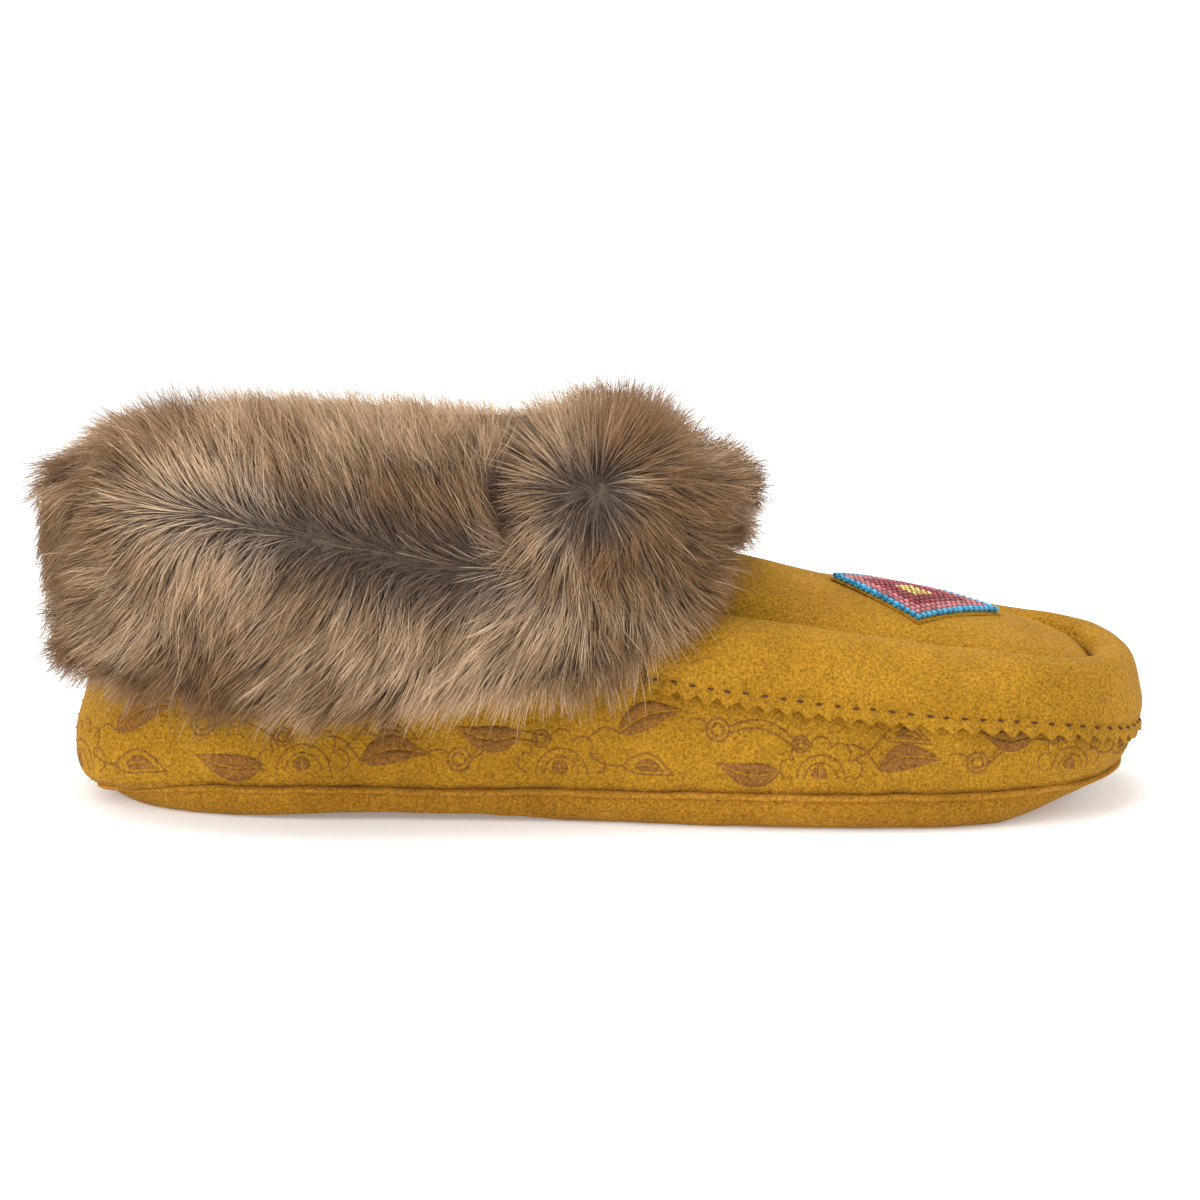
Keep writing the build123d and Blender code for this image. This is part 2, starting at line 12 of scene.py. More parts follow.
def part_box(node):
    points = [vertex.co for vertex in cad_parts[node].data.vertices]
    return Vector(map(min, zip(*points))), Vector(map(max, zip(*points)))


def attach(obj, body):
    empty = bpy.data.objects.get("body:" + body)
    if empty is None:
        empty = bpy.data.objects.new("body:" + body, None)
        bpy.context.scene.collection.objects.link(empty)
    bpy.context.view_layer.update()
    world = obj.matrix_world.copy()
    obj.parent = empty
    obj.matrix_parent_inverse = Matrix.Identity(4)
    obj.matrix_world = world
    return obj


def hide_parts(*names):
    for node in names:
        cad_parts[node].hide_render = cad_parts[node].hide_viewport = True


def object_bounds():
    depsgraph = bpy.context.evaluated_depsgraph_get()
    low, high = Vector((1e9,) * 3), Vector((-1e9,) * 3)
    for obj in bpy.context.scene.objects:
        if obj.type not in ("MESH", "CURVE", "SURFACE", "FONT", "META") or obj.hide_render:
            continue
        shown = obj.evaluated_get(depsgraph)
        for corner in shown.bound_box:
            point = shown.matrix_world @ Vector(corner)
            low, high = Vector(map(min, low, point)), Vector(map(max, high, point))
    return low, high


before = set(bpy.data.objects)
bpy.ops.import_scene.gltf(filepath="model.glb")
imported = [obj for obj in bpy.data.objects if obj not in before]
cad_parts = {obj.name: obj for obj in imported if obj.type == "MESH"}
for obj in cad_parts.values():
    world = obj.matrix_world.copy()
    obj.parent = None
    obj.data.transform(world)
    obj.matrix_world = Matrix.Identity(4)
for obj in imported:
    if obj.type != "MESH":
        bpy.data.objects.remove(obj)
cad_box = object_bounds()
MM = 0.001
UP = Vector((0, 0, 1))
random.seed(7)
rng = np.random.default_rng(7)

COLUMNS = 1380              # columns of every skin that runs round the shoe
NAP = 0.8 * MM              # suede nap
HAIR_UV = "OFBake"          # map that holds each hair's tone and the share along it
PELTS = ("cuff_pelt_near", "cuff_pelt_far")


# ---- small helpers
def ease(value, start, end):
    """0 before start, 1 after end, smooth between."""
    t = min(max((value - start) / (end - start), 0.0), 1.0)
    return t * t * (3.0 - 2.0 * t)


def merged(names):
    """Vertices and faces of some CAD nodes, in one list each."""
    verts = []
    faces = []
    for name in names:
        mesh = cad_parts[name].data
        base = len(verts)
        verts += [v.co.copy() for v in mesh.vertices]
        faces += [[base + i for i in p.vertices] for p in mesh.polygons]
    return verts, faces


def tree(*names):
    """Ray-cast tree of the faces of some CAD nodes."""
    return BVHTree.FromPolygons(*merged(names))


def ripple(spot, *waves):
    """Smooth noise at a point, in metres, from waves of (frequency, millimetres)."""
    return sum(noise.noise(spot * frequency) * size for frequency, size in waves) * MM


def bell(value, centre, width):
    """1 at the centre, falling off on both sides."""
    return math.exp(-((value - centre) / width) ** 2)


def add_object(name, verts, faces, material):
    """Smooth-shaded mesh object in the scene."""
    mesh = bpy.data.meshes.new(name)
    mesh.from_pydata([tuple(v) for v in verts], [], faces)
    mesh.update()
    mesh.materials.append(material)
    mesh.polygons.foreach_set("use_smooth", [True] * len(mesh.polygons))
    obj = bpy.data.objects.new(name, mesh)
    bpy.context.scene.collection.objects.link(obj)
    return obj


def stand_for(obj, slot, *nodes):
    """A piece that rides on the shoe and hides CAD nodes; the slot is not used."""
    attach(obj, "root")
    if nodes:
        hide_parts(*nodes)
    return obj


def thicken(obj, thickness):
    """Gives a one-sided skin its real thickness, inward."""
    mod = obj.modifiers.new("thickness", "SOLIDIFY")
    mod.thickness = thickness
    mod.offset = -1.0


def add_skin(name, grid, material, closed=True, inward=False):
    """A grid of points as a surface; an inward one faces the foot."""
    columns, rows = grid.shape[:2]
    faces = []
    for j in range(columns if closed else columns - 1):
        k = (j + 1) % columns
        for i in range(rows - 1):
            faces.append((j * rows + i, k * rows + i, k * rows + i + 1, j * rows + i + 1))
    if inward:
        faces = [tuple(reversed(face)) for face in faces]
    return add_object(name, grid.reshape(-1, 3), faces, material)


def soften(points, passes, closed, axis=0):
    """Smooths a grid of points along one axis and keeps its open ends."""
    grid = np.array(points, dtype=float)
    for _ in range(passes):
        ahead = np.roll(grid, -1, axis)
        behind = np.roll(grid, 1, axis)
        mixed = 0.5 * grid + 0.25 * (ahead + behind)
        if not closed:
            if axis == 0:
                mixed[0], mixed[-1] = grid[0], grid[-1]
            else:
                mixed[:, 0], mixed[:, -1] = grid[:, 0], grid[:, -1]
        grid = mixed
    return grid


def grid_normals(grid, closed):
    """Outward unit normals of a grid whose rows run up and columns run round."""
    across = np.roll(grid, -1, 0) - np.roll(grid, 1, 0)
    if not closed:
        across[0] = grid[1] - grid[0]
        across[-1] = grid[-1] - grid[-2]
    upward = np.gradient(grid, axis=1)
    normal = np.cross(across, upward)
    length = np.linalg.norm(normal, axis=2, keepdims=True)
    return normal / np.maximum(length, 1e-12)


def path_lengths(line):
    """Distance of each point of a polyline from its start."""
    steps = np.linalg.norm(np.diff(line, axis=0), axis=1)
    return np.concatenate([[0.0], np.cumsum(steps)])


def resample(points, count):
    """Points spaced evenly along a polyline."""
    line = np.array([tuple(p) for p in points])
    reach = path_lengths(line)
    wanted = np.linspace(0.0, reach[-1], count)
    return np.stack([np.interp(wanted, reach, line[:, k]) for k in range(3)], axis=1)


# ---- materials
class Look:
    """A material under construction, with its node tree and its shader."""

    def __init__(self, name, roughness, specular=0.5):
        self.material = bpy.data.materials.new(name)
        self.material.use_nodes = True
        self.web = self.material.node_tree
        self.shader = self.web.nodes["Principled BSDF"]
        self.set("Roughness", roughness)
        self.set("Specular IOR Level", specular)

    def set(self, socket, value):
        self.shader.inputs[socket].default_value = value

    def colour(self, source):
        self.web.links.new(source, self.shader.inputs["Base Color"])

    def noise(self, scale, detail=4.0, rough=0.6):
        node = self.web.nodes.new("ShaderNodeTexNoise")
        place = self.web.nodes.new("ShaderNodeTexCoord")
        node.inputs["Scale"].default_value = scale
        node.inputs["Detail"].default_value = detail
        node.inputs["Roughness"].default_value = rough
        self.web.links.new(place.outputs["Object"], node.inputs["Vector"])
        return node.outputs["Fac"]

    def ramp(self, source, *stops):
        node = self.web.nodes.new("ShaderNodeValToRGB")
        ramp = node.color_ramp
        while len(ramp.elements) < len(stops):
            ramp.elements.new(0.5)
        for element, (place, colour) in zip(ramp.elements, stops):
            element.position = place
            element.color = (*colour, 1.0)
        self.web.links.new(source, node.inputs["Fac"])
        return node.outputs["Color"]

    def mix(self, kind, factor, first, second):
        node = self.web.nodes.new("ShaderNodeMix")
        node.data_type = "RGBA"
        node.blend_type = kind
        if isinstance(factor, float):
            node.inputs[0].default_value = factor
        else:
            self.web.links.new(factor, node.inputs[0])
        self.web.links.new(first, node.inputs[6])
        self.web.links.new(second, node.inputs[7])
        return node.outputs[2]

    def bump(self, source, distance):
        node = self.web.nodes.new("ShaderNodeBump")
        node.inputs["Distance"].default_value = distance
        node.inputs["Strength"].default_value = 1.0
        self.web.links.new(source, node.inputs["Height"])
        self.web.links.new(node.outputs["Normal"], self.shader.inputs["Normal"])


def suede(name, dark, middle, light, sheen=0.12):
    """Napped leather: cloudy tone, a speckled nap that is partly its own colour and partly painted light
    and shade of its lumps, and a faint sheen.
    """
    look = Look(name, 0.95, 0.10)
    cloud = look.ramp(look.noise(48.0, 5.0, 0.62), (0.30, dark), (0.52, middle), (0.75, light))
    # light and dark speckle of the nap: partly the nap's own colour, partly painted light and shade of its
    # lit and shaded lumps
    nap_speck_and_painted_shade = look.ramp(look.noise(1500.0, 2.0, 0.5), (0.26, (0.48, 0.47, 0.44)),
                      (0.50, (1.0, 1.0, 1.0)), (0.74, (1.52, 1.50, 1.4)))
    look.colour(look.mix("MULTIPLY", 0.9, cloud, nap_speck_and_painted_shade))
    look.set("Sheen Weight", sheen)
    look.set("Sheen Roughness", 0.5)
    look.set("Sheen Tint", (1.0, 0.72, 0.30, 1.0))
    look.bump(look.noise(800.0, 3.0, 0.6), NAP)
    return look.material


def cloth(name, dark, light, scale, height, roughness=0.9):
    """Thread, foam, board and fleece: two tones and a bump at one scale."""
    look = Look(name, roughness, 0.25)
    look.colour(look.ramp(look.noise(scale, 4.0, 0.65), (0.3, dark), (0.7, light)))
    look.bump(look.noise(scale * 1.7, 3.0, 0.6), height)
    return look.material


def bead_glass(name, colour, metallic=0.0, roughness=0.2):
    """Coloured seed-bead glass with slight bead-to-bead variation."""
    look = Look(name, roughness, 0.4)
    pale = tuple(min(c * 1.5 + 0.02, 1.0) for c in colour)
    deep = tuple(c * 0.7 for c in colour)
    look.colour(look.ramp(look.noise(420.0, 1.0, 0.4), (0.3, deep), (0.7, pale)))
    look.set("Metallic", metallic)
    look.set("Coat Weight", 0.2)
    look.set("Coat Roughness", 0.06)
    return look.material


def fur_material(name):
    """Hair whose colour runs along each strand; the strand's tone sets how dark it is."""
    look = Look(name, 0.6, 0.3)
    place = look.web.nodes.new("ShaderNodeUVMap")
    place.uv_map = HAIR_UV
    split = look.web.nodes.new("ShaderNodeSeparateXYZ")
    look.web.links.new(place.outputs["UV"], split.inputs["Vector"])
    along = split.outputs["Y"]
    pale = look.ramp(along, (0.0, (0.155, 0.122, 0.108)), (0.35, (0.33, 0.245, 0.185)),
                     (0.72, (0.76, 0.545, 0.35)), (1.0, (0.74, 0.50, 0.29)))
    deep = look.ramp(along, (0.0, (0.080, 0.062, 0.054)), (0.4, (0.18, 0.108, 0.060)),
                     (0.72, (0.33, 0.180, 0.078)), (1.0, (0.024, 0.012, 0.007)))
    look.colour(look.mix("MIX", split.outputs["X"], pale, deep))
    return look.material


SUEDE = suede("suede_mustard", (0.300, 0.145, 0.010), (0.365, 0.179, 0.013), (0.435, 0.220, 0.020))
SOLE_SUEDE = suede("suede_sole", (0.27, 0.122, 0.009), (0.335, 0.155, 0.012), (0.40, 0.19, 0.017))
PRINT = suede("print_brown", (0.20, 0.085, 0.018), (0.25, 0.108, 0.024), (0.31, 0.135, 0.032), 0.08)
WELT = suede("welt_edge", (0.31, 0.138, 0.012), (0.39, 0.178, 0.018), (0.48, 0.225, 0.03), 0.1)
THREAD = cloth("thread_brown", (0.045, 0.020, 0.009), (0.13, 0.062, 0.026), 2600.0, 0.00008, 0.8)
THREAD_TAN = cloth("thread_tan", (0.22, 0.095, 0.012), (0.34, 0.16, 0.02), 2600.0, 0.00008, 0.8)
THREAD_PALE = cloth("thread_pale", (0.55, 0.52, 0.46), (0.85, 0.82, 0.76), 2600.0, 0.00005, 0.6)
FOAM = cloth("foam", (0.42, 0.40, 0.36), (0.60, 0.57, 0.52), 900.0, 0.0003)
BOARD = cloth("board", (0.24, 0.17, 0.11), (0.40, 0.30, 0.20), 500.0, 0.0001)
FLEECE = cloth("fleece", (0.46, 0.38, 0.28), (0.80, 0.72, 0.60), 420.0, 0.0011, 0.95)
FACING = cloth("cuff_facing", (0.20, 0.155, 0.115), (0.44, 0.36, 0.29), 420.0, 0.0011, 0.95)
UNDERFUR = cloth("underfur", (0.050, 0.037, 0.029), (0.16, 0.115, 0.082), 700.0, 0.0012, 1.0)
FUR = fur_material("fur")
BEAD_LOOKS = {
    "beads_blue": ("bead_blue", bead_glass("bead_blue", (0.025, 0.33, 0.58))),
    "beads_pink": ("bead_pink", bead_glass("bead_pink", (0.44, 0.135, 0.145), 0.0, 0.35)),
    "beads_maroon": ("bead_maroon", bead_glass("bead_maroon", (0.24, 0.006, 0.018))),
    "beads_gold": ("bead_gold", bead_glass("bead_gold", (0.72, 0.50, 0.14), 0.85, 0.2)),
}


# ---- path round the shoe
wall_tree = tree("side_wall")
PATH_HEIGHT = 12 * MM
PATH_RAYS = 1440


def shoe_path():
    """Even points and outward normals along the side wall, counter-clockwise from the heel."""
    raw = []
    for i in range(PATH_RAYS):
        angle = math.pi + 2 * math.pi * i / PATH_RAYS
        way = Vector((math.cos(angle), math.sin(angle), 0))
        hit = wall_tree.ray_cast(way * 0.3 + UP * PATH_HEIGHT, -way, 0.28)[0]
        if hit:
            raw.append(hit)
    ring = resample(raw + [raw[0]], COLUMNS + 1)[:-1]
    ring = soften(ring, 14, True)
    along = np.roll(ring, -1, 0) - np.roll(ring, 1, 0)
    out = np.stack([along[:, 1], -along[:, 0], np.zeros(COLUMNS)], axis=1)
    out /= np.linalg.norm(out, axis=1, keepdims=True)
    return ring, soften(out, 10, True)


PATH, OUT = shoe_path()
STEP = float(np.mean(np.linalg.norm(np.roll(PATH, -1, 0) - PATH, axis=1)))


def at_height(column, z):
    """Point of the path, moved to a height."""
    return Vector((PATH[column][0], PATH[column][1], z))


def wall_hit(ray_tree, column, z, outside=True, reach=0.03):
    """Where a level ray meets a skin from outside, or from inside."""
    out = Vector(OUT[column])
    if outside:
        return ray_tree.ray_cast(at_height(column, z) + out * reach, -out, reach * 2)[0]
    return ray_tree.ray_cast(at_height(column, z) - out * 0.016, out, 0.03)[0]


def edge_heights(ray_tree, outside=True):
    """Lowest and highest level of a skin at each column."""
    knots = []
    lows = []
    highs = []
    for column in range(0, COLUMNS, 6):
        levels = [z * MM / 2 for z in range(2, 180)]
        found = [z for z in levels if wall_hit(ray_tree, column, z, outside)]
        if found:
            knots.append(column)
            lows.append(found[0])
            highs.append(found[-1])
    every = np.arange(COLUMNS)
    low = np.interp(every, knots, lows, period=COLUMNS)
    high = np.interp(every, knots, highs, period=COLUMNS)
    return soften(low, 20, True), soften(high, 20, True)


def fill_gaps(grid):
    """Bridges columns that met no surface, such as the slit of the heel seam."""
    every = np.arange(len(grid))
    for row in range(grid.shape[1]):
        for k in range(3):
            good = ~np.isnan(grid[:, row, k])
            grid[:, row, k] = np.interp(every, every[good], grid[good, row, k], period=len(grid))
    return grid


def side_skin(ray_tree, rows, outside=True, power=1.6):
    """Grid of points up a skin; rows are closer together near its foot."""
    low, high = edge_heights(ray_tree, outside)
    grid = np.full((COLUMNS, rows, 3), np.nan)
    for column in range(COLUMNS):
        for row in range(rows):
            share = (row / (rows - 1)) ** power
            z = low[column] + (high[column] - low[column]) * share
            probe = min(max(z, low[column] + 0.5 * MM), high[column] - 0.8 * MM)
            hit = wall_hit(ray_tree, column, probe, outside)
            if hit:
                grid[column, row] = (hit.x, hit.y, z)
    grid = soften(fill_gaps(grid), 8, True)
    return soften(grid, 2, False, 1) if outside else grid


FAN_RAYS = 80


def arc_skin(ray_tree, pivot_in, pivot_z, first, last, rows, closed=False):
    """Grid over a rounded band: rays run in to a pivot at each angle of a vertical fan."""
    sections = []
    for column in range(COLUMNS):
        out = Vector(OUT[column])
        pivot = at_height(column, pivot_z) - out * pivot_in
        points = []
        for k in range(FAN_RAYS + 1):
            angle = math.radians(first + (last - first) * k / FAN_RAYS)
            way = out * math.cos(angle) + UP * math.sin(angle)
            hit = ray_tree.ray_cast(pivot + way * 0.06, -way, 0.06)[0]
            if hit:
                points.append(hit)
        if len(points) > 6:
            sections.append(resample(points, rows))
        elif closed:
            shift = PATH[column] - PATH[column - 1]
            sections.append(sections[-1] + shift)
    return np.array(sections)


# ---- outsole and welt
def spine_point(point):
    """Nearest point of the line between the middles of heel and forefoot."""
    return np.array([min(max(point[0], -0.088), 0.086), 0.0, point[2]])


TOE_SPRING = 3.6 * MM       # the outsole leaves the floor by this much at the toe tip


def make_outsole(low):
    """Suede tray under the foot; its rim is drawn up to the sole seam."""
    solid = tree("outsole")
    grid = arc_skin(solid, pivot_in=14 * MM, pivot_z=8 * MM, first=0, last=-78, rows=22, closed=True)
    grid = soften(grid, 6, True)
    lift = low - 0.7 * MM - grid[:, 0, 2]
    for row in range(6):
        grid[:, row, 2] += lift * math.exp(-row / 2.0)
    rows = [grid]
    rim = grid[:, -1]
    for share in (0.9, 0.72, 0.5, 0.25, 0.02):
        ring = np.zeros((COLUMNS, 1, 3))
        for column in range(COLUMNS):
            point = spine_point(rim[column]) * (1 - share) + rim[column] * share
            hit = solid.ray_cast(Vector((point[0], point[1], -0.01)), UP)[0]
            ring[column, 0] = (point[0], point[1], hit.z if hit else rim[column][2])
        rows.append(ring)
    full = np.concatenate(rows, axis=1)
    normals = grid_normals(full, True)
    for column in range(COLUMNS):
        for row in range(2, 18):
            swell = ripple(Vector(full[column, row]), (90, 0.30), (270, 0.10))
            full[column, row] -= normals[column, row] * swell
    full[:, :, 2] = np.maximum(full[:, :, 2], 0.0)
    for column in range(COLUMNS):
        spring = TOE_SPRING * np.array([ease(x, 0.094, 0.132) for x in full[column, :, 0]])
        full[column, :, 2] += spring * (1 - full[column, :, 2] / low[column])
    inner = full[:, :1] - OUT[:, None, :] * 1.6 * MM
    deeper = inner - np.array([0.0, 0.0, 2.0 * MM])
    full = np.concatenate([deeper, inner, full], axis=1)
    stand_for(add_skin("outsole_suede", full, SOLE_SUEDE, inward=True), "sole_suede", "outsole")


WELT_PROFILE = [(-2.0, 0.0), (0.0, 0.15), (1.3, 0.1), (1.9, -0.35), (1.8, -0.9), (0.8, -1.5),
                (-2.0, -1.4)]     # (outward, up) from the seam, mm


def make_welt(low):
    """Raw-edged strip squeezed out along the sole seam, a little uneven."""
    verts = []
    for column in range(COLUMNS):
        heel = ease(-PATH[column][0], 0.092, 0.121)
        toe = ease(PATH[column][0], 0.096, 0.130)
        inset = 1.2 * MM + 5.6 * MM * heel + 2.2 * MM * toe
        spot = Vector(PATH[column])
        wave = ripple(spot, (160, 0.45))
        lift = ripple(spot * 110 + UP, (1, 0.15))
        for across, height in WELT_PROFILE:
            out = across * MM - inset + (wave if across > 0 else 0.0)
            point = spot + Vector(OUT[column]) * out
            verts.append((point.x, point.y, low[column] + height * MM + lift))
    count = len(WELT_PROFILE)
    faces = []
    for column in range(COLUMNS):
        ahead = (column + 1) % COLUMNS
        for k in range(count):
            m = (k + 1) % count
            faces.append((column * count + k, column * count + m, ahead * count + m, ahead * count + k))
    stand_for(add_object("welt_strip", verts, faces, WELT), "welt_edge", "sole_welt")


# ---- side wall and its print
WALL_ROWS = 34
GATHER_RADIAN = 2.6 * MM    # the gathers at the sole seam repeat every 2 pi of these


def make_side_wall():
    """Suede wall: gathered and pinched at the sole seam, a little wavy above it."""
    grid = side_skin(wall_tree, WALL_ROWS)
    normals = grid_normals(grid, True)
    for column in range(COLUMNS):
        for row in range(WALL_ROWS):
            height = grid[column, row, 2] - grid[column, 0, 2]
            spot = Vector(grid[column, row])
            gather = math.sin(column * STEP / GATHER_RADIAN + 3 * noise.noise(spot * 60))
            fade = math.exp(-height / (3.0 * MM))
            swell = ripple(spot, (45, 0.45), (140, 0.12))
            pinch = 0.9 * MM * math.exp(-height / (0.8 * MM))
            move = gather * fade * 0.2 * MM + swell * (1 - fade) - pinch
            grid[column, row] += normals[column, row] * move
    obj = add_skin("side_wall_suede", grid, SUEDE)
    thicken(obj, 1.4 * MM)
    stand_for(obj, "suede", "side_wall")
    return grid


class WallSurface:
    """Looks up a point of the side wall by path length and height above the seam."""

    def __init__(self, grid):
        self.grid = grid
        self.normals = grid_normals(grid, True)
        self.heights = grid[:, :, 2] - grid[:, :1, 2]

    def place(self, distance, height, lift):
        """Point at a path length and a height, lifted off the wall."""
        column = distance / STEP
        low = int(math.floor(column))
        share = column - low
        spots = []
        for j in (low % COLUMNS, (low + 1) % COLUMNS):
            point = [np.interp(height, self.heights[j], self.grid[j, :, k]) for k in range(3)]
            way = [np.interp(height, self.heights[j], self.normals[j, :, k]) for k in range(3)]
            spots.append((np.array(point), np.array(way)))
        point = spots[0][0] * (1 - share) + spots[1][0] * share
        way = spots[0][1] * (1 - share) + spots[1][1] * share
        return point + way * lift


PRINT_LIFT = 0.07 * MM
LEAF_STEPS = 16
STEM_STEPS = 26


class Print:
    """Flat ribbons of brown print laid on the side wall."""

    def __init__(self, surface):
        self.surface = surface
        self.verts = []
        self.faces = []

    def ribbon(self, line, widths):
        """Strip along a line of (distance, height) in millimetres, of given widths."""
        start = len(self.verts)
        count = len(line)
        for i, (s, h) in enumerate(line):
            before = line[max(i - 1, 0)]
            after = line[min(i + 1, count - 1)]
            run = Vector((after[0] - before[0], after[1] - before[1]))
            run.normalize()
            half = widths[i] / 2
            for side in (-half, 0.0, half):
                height = max(h + run.x * side, 0.3)
                self.verts.append(self.surface.place((s - run.y * side) * MM, height * MM, PRINT_LIFT))
        for i in range(count - 1):
            for k in (0, 1):
                a = start + i * 3 + k
                self.faces.append((a, a + 3, a + 4, a + 1))

    def arc(self, s, h, radius, first, last, width):
        """Ribbon along an arc between two angles in degrees."""
        steps = max(int(radius * abs(last - first) / 22), 8)
        angles = [math.radians(first + (last - first) * i / steps) for i in range(steps + 1)]
        self.ribbon([(s + radius * math.cos(a), h + radius * math.sin(a)) for a in angles],
                    [width] * (steps + 1))

    def ring(self, s, h, radius, width):
        """Ribbon round a full circle."""
        self.arc(s, h, radius, 0, 360, width)

    def leaf(self, s, h, angle, length, breadth, filled=True):
        """Pointed leaf with a pale midrib, or only its outline."""
        turn = math.radians(angle)
        ahead = (math.cos(turn), math.sin(turn))
        aside = (-ahead[1], ahead[0])
        for side in (-1, 1):
            line = []
            widths = []
            for i in range(LEAF_STEPS + 1):
                t = i / LEAF_STEPS
                full = breadth * math.sin(math.pi * t ** 0.8) * (1 - 0.25 * t)
                bow = 0.12 * length * math.sin(math.pi * t)
                offset = side * (full / 4 + 0.14) + bow if filled else side * full / 2 + bow
                line.append((s + ahead[0] * length * t + aside[0] * offset,
                             h + ahead[1] * length * t + aside[1] * offset))
                widths.append(max(full / 2 - 0.1, 0.14) if filled else 0.42)
            self.ribbon(line, widths)

    def stem(self, s0, h0, s1, h1, bow, width):
        """Bowed ribbon between two points."""
        line = []
        for i in range(STEM_STEPS + 1):
            t = i / STEM_STEPS
            line.append((s0 + (s1 - s0) * t, h0 + (h1 - h0) * t + bow * math.sin(math.pi * t)))
        self.ribbon(line, [width] * (STEM_STEPS + 1))

    def fan(self, s, h, radius, petals=5):
        """Half-round flower: scalloped rim, inner arcs and a filled heart."""
        for k in range(petals):
            angle = math.radians(180 * (k + 0.5) / petals)
            self.arc(s + radius * math.cos(angle), h + radius * math.sin(angle), radius * 0.30,
                     math.degrees(angle) - 100, math.degrees(angle) + 100, 0.34)
        self.arc(s, h, radius * 0.74, 0, 180, 0.34)
        self.arc(s, h, radius * 0.50, 0, 180, 0.34)
        self.leaf(s, h, 90, radius * 0.44, radius * 0.5)


GARLAND_PITCH = 63.0        # mm between the fans of the print


def garland_unit(art, at, turned, start, size, flip):
    """One stretch of the garland: fan, leaves, berries and the stems that join them."""
    high = 15.0 if flip else 7.0
    low = 7.0 if flip else 15.0
    art.fan(at(start + 9), 4.5, 9.4 * size)
    art.leaf(at(start + 23), high, turned(20 if flip else 8), 18 * size, 8.2 * size)
    art.leaf(at(start + 24), low, turned(-10), 14 * size, 6.6 * size, filled=False)
    art.leaf(at(start + 27), low, turned(-10), 8 * size, 3.8 * size)
    art.leaf(at(start + 62), low - 1, turned(172), 17 * size, 7.6 * size)
    for s, h, radius in ((47, high + 1, 3.0), (67, 13, 2.2)):
        art.ring(at(start + s), h, radius * size, 0.55)
        art.ring(at(start + s), h, radius * size * 0.55, 0.6)
    for s0, h0, s1, h1, bow in ((15, 13, 23, high, 2), (16, 9, 24, low, -1), (49, high, 66, 12, 3),
                                (50, high + 2, 66, 14, 3), (40, high + 3, 45, high + 2, 1)):
        art.stem(at(start + s0), h0, at(start + s1), h1, bow, 0.45)


def make_print(surface, length):
    """Generic garland of leaves, berries and fans, mirrored on both sides of the shoe."""
    art = Print(surface)
    for mirrored in (False, True):
        def at(s):
            return length - s if mirrored else s

        def turned(angle):
            return 180 - angle if mirrored else angle
        for unit in range(5):
            start = 9 + GARLAND_PITCH * unit
            garland_unit(art, at, turned, start, size=1.0 - 0.05 * unit, flip=unit % 2 == 0)
    obj = add_object("wall_print", art.verts, art.faces, PRINT)
    thicken(obj, 0.05 * MM)
    stand_for(obj, "suede")


# ---- toe roll, plug, stitches
ROLL_ROWS = 34
TOOTH_ROWS = 4
TOOTH_PITCH = 4.9 * MM
TOOTH_DEPTH = 1.5 * MM
STITCH_PITCH = 4.4 * MM
STITCH_UP = 2.2 * MM        # stitches above the pinked edge
WHIP_PITCH = 5.2 * MM
SOLE_PITCH = 3.6            # mm, as the path's length is
HEEL_PITCH = 3.4            # mm


def make_toe_roll():
    """Padded roll: dimpled along its stitches, with a pinked lower edge."""
    solid = tree("toe_roll")
    raw = arc_skin(solid, pivot_in=9 * MM, pivot_z=22 * MM, first=-38, last=140, rows=ROLL_ROWS)
    grid = soften(soften(raw, 10, False), 2, False, 1)
    normals = grid_normals(grid, False)
    drop = grid[:, :1] - grid[:, 1:2]
    drop /= np.linalg.norm(drop, axis=2, keepdims=True)
    length = len(grid)
    for j in range(length):
        distance = j * STEP
        phase = (distance / STITCH_PITCH) % 1.0 - 0.5
        reach = path_lengths(grid[j])
        for i in range(ROLL_ROWS):
            spot = Vector(grid[j, i])
            above = reach[i] - STITCH_UP
            dimple = bell(phase, 0, 0.24) * bell(above, 0, 0.9 * MM)
            line = bell(above, 0, 1.0 * MM)
            puff = bell(above, 4.0 * MM, 3.2 * MM)
            flare = max(0.0, 1.0 - reach[i] / STITCH_UP)
            wave = math.cos(2 * math.pi * distance / TOOTH_PITCH)
            swell = ripple(spot, (50, 0.35), (150, 0.12)) * (1 - line)
            move = 0.45 * puff - 0.45 * dimple - 0.55 * line + (0.75 + 0.3 * wave) * flare
            grid[j, i] += normals[j, i] * (move * MM + swell)
    for row, sink in ((-1, 2.6), (-2, 1.5), (-3, 0.5)):
        grid[:, row, 2] -= sink * MM
    teeth = np.zeros((length, TOOTH_ROWS, 3))
    for j in range(length):
        wave = 0.5 + 0.5 * math.cos(2 * math.pi * j * STEP / TOOTH_PITCH)
        depth = TOOTH_DEPTH * (wave ** 0.8) + 0.12 * MM
        curl = ripple(Vector(grid[j, 0]), (120, 0.25)) + 0.55 * MM * wave
        for i in range(TOOTH_ROWS):
            share = 1.0 - i / TOOTH_ROWS
            teeth[j, i] = grid[j, 0] + drop[j, 0] * depth * share + normals[j, 0] * curl * share
    full = np.concatenate([teeth, grid], axis=1)
    obj = add_skin("toe_roll_suede", full, SUEDE, closed=False)
    thicken(obj, 1.1 * MM)
    stand_for(obj, "suede", "toe_roll", "toe_roll_padding")
    return grid, normals


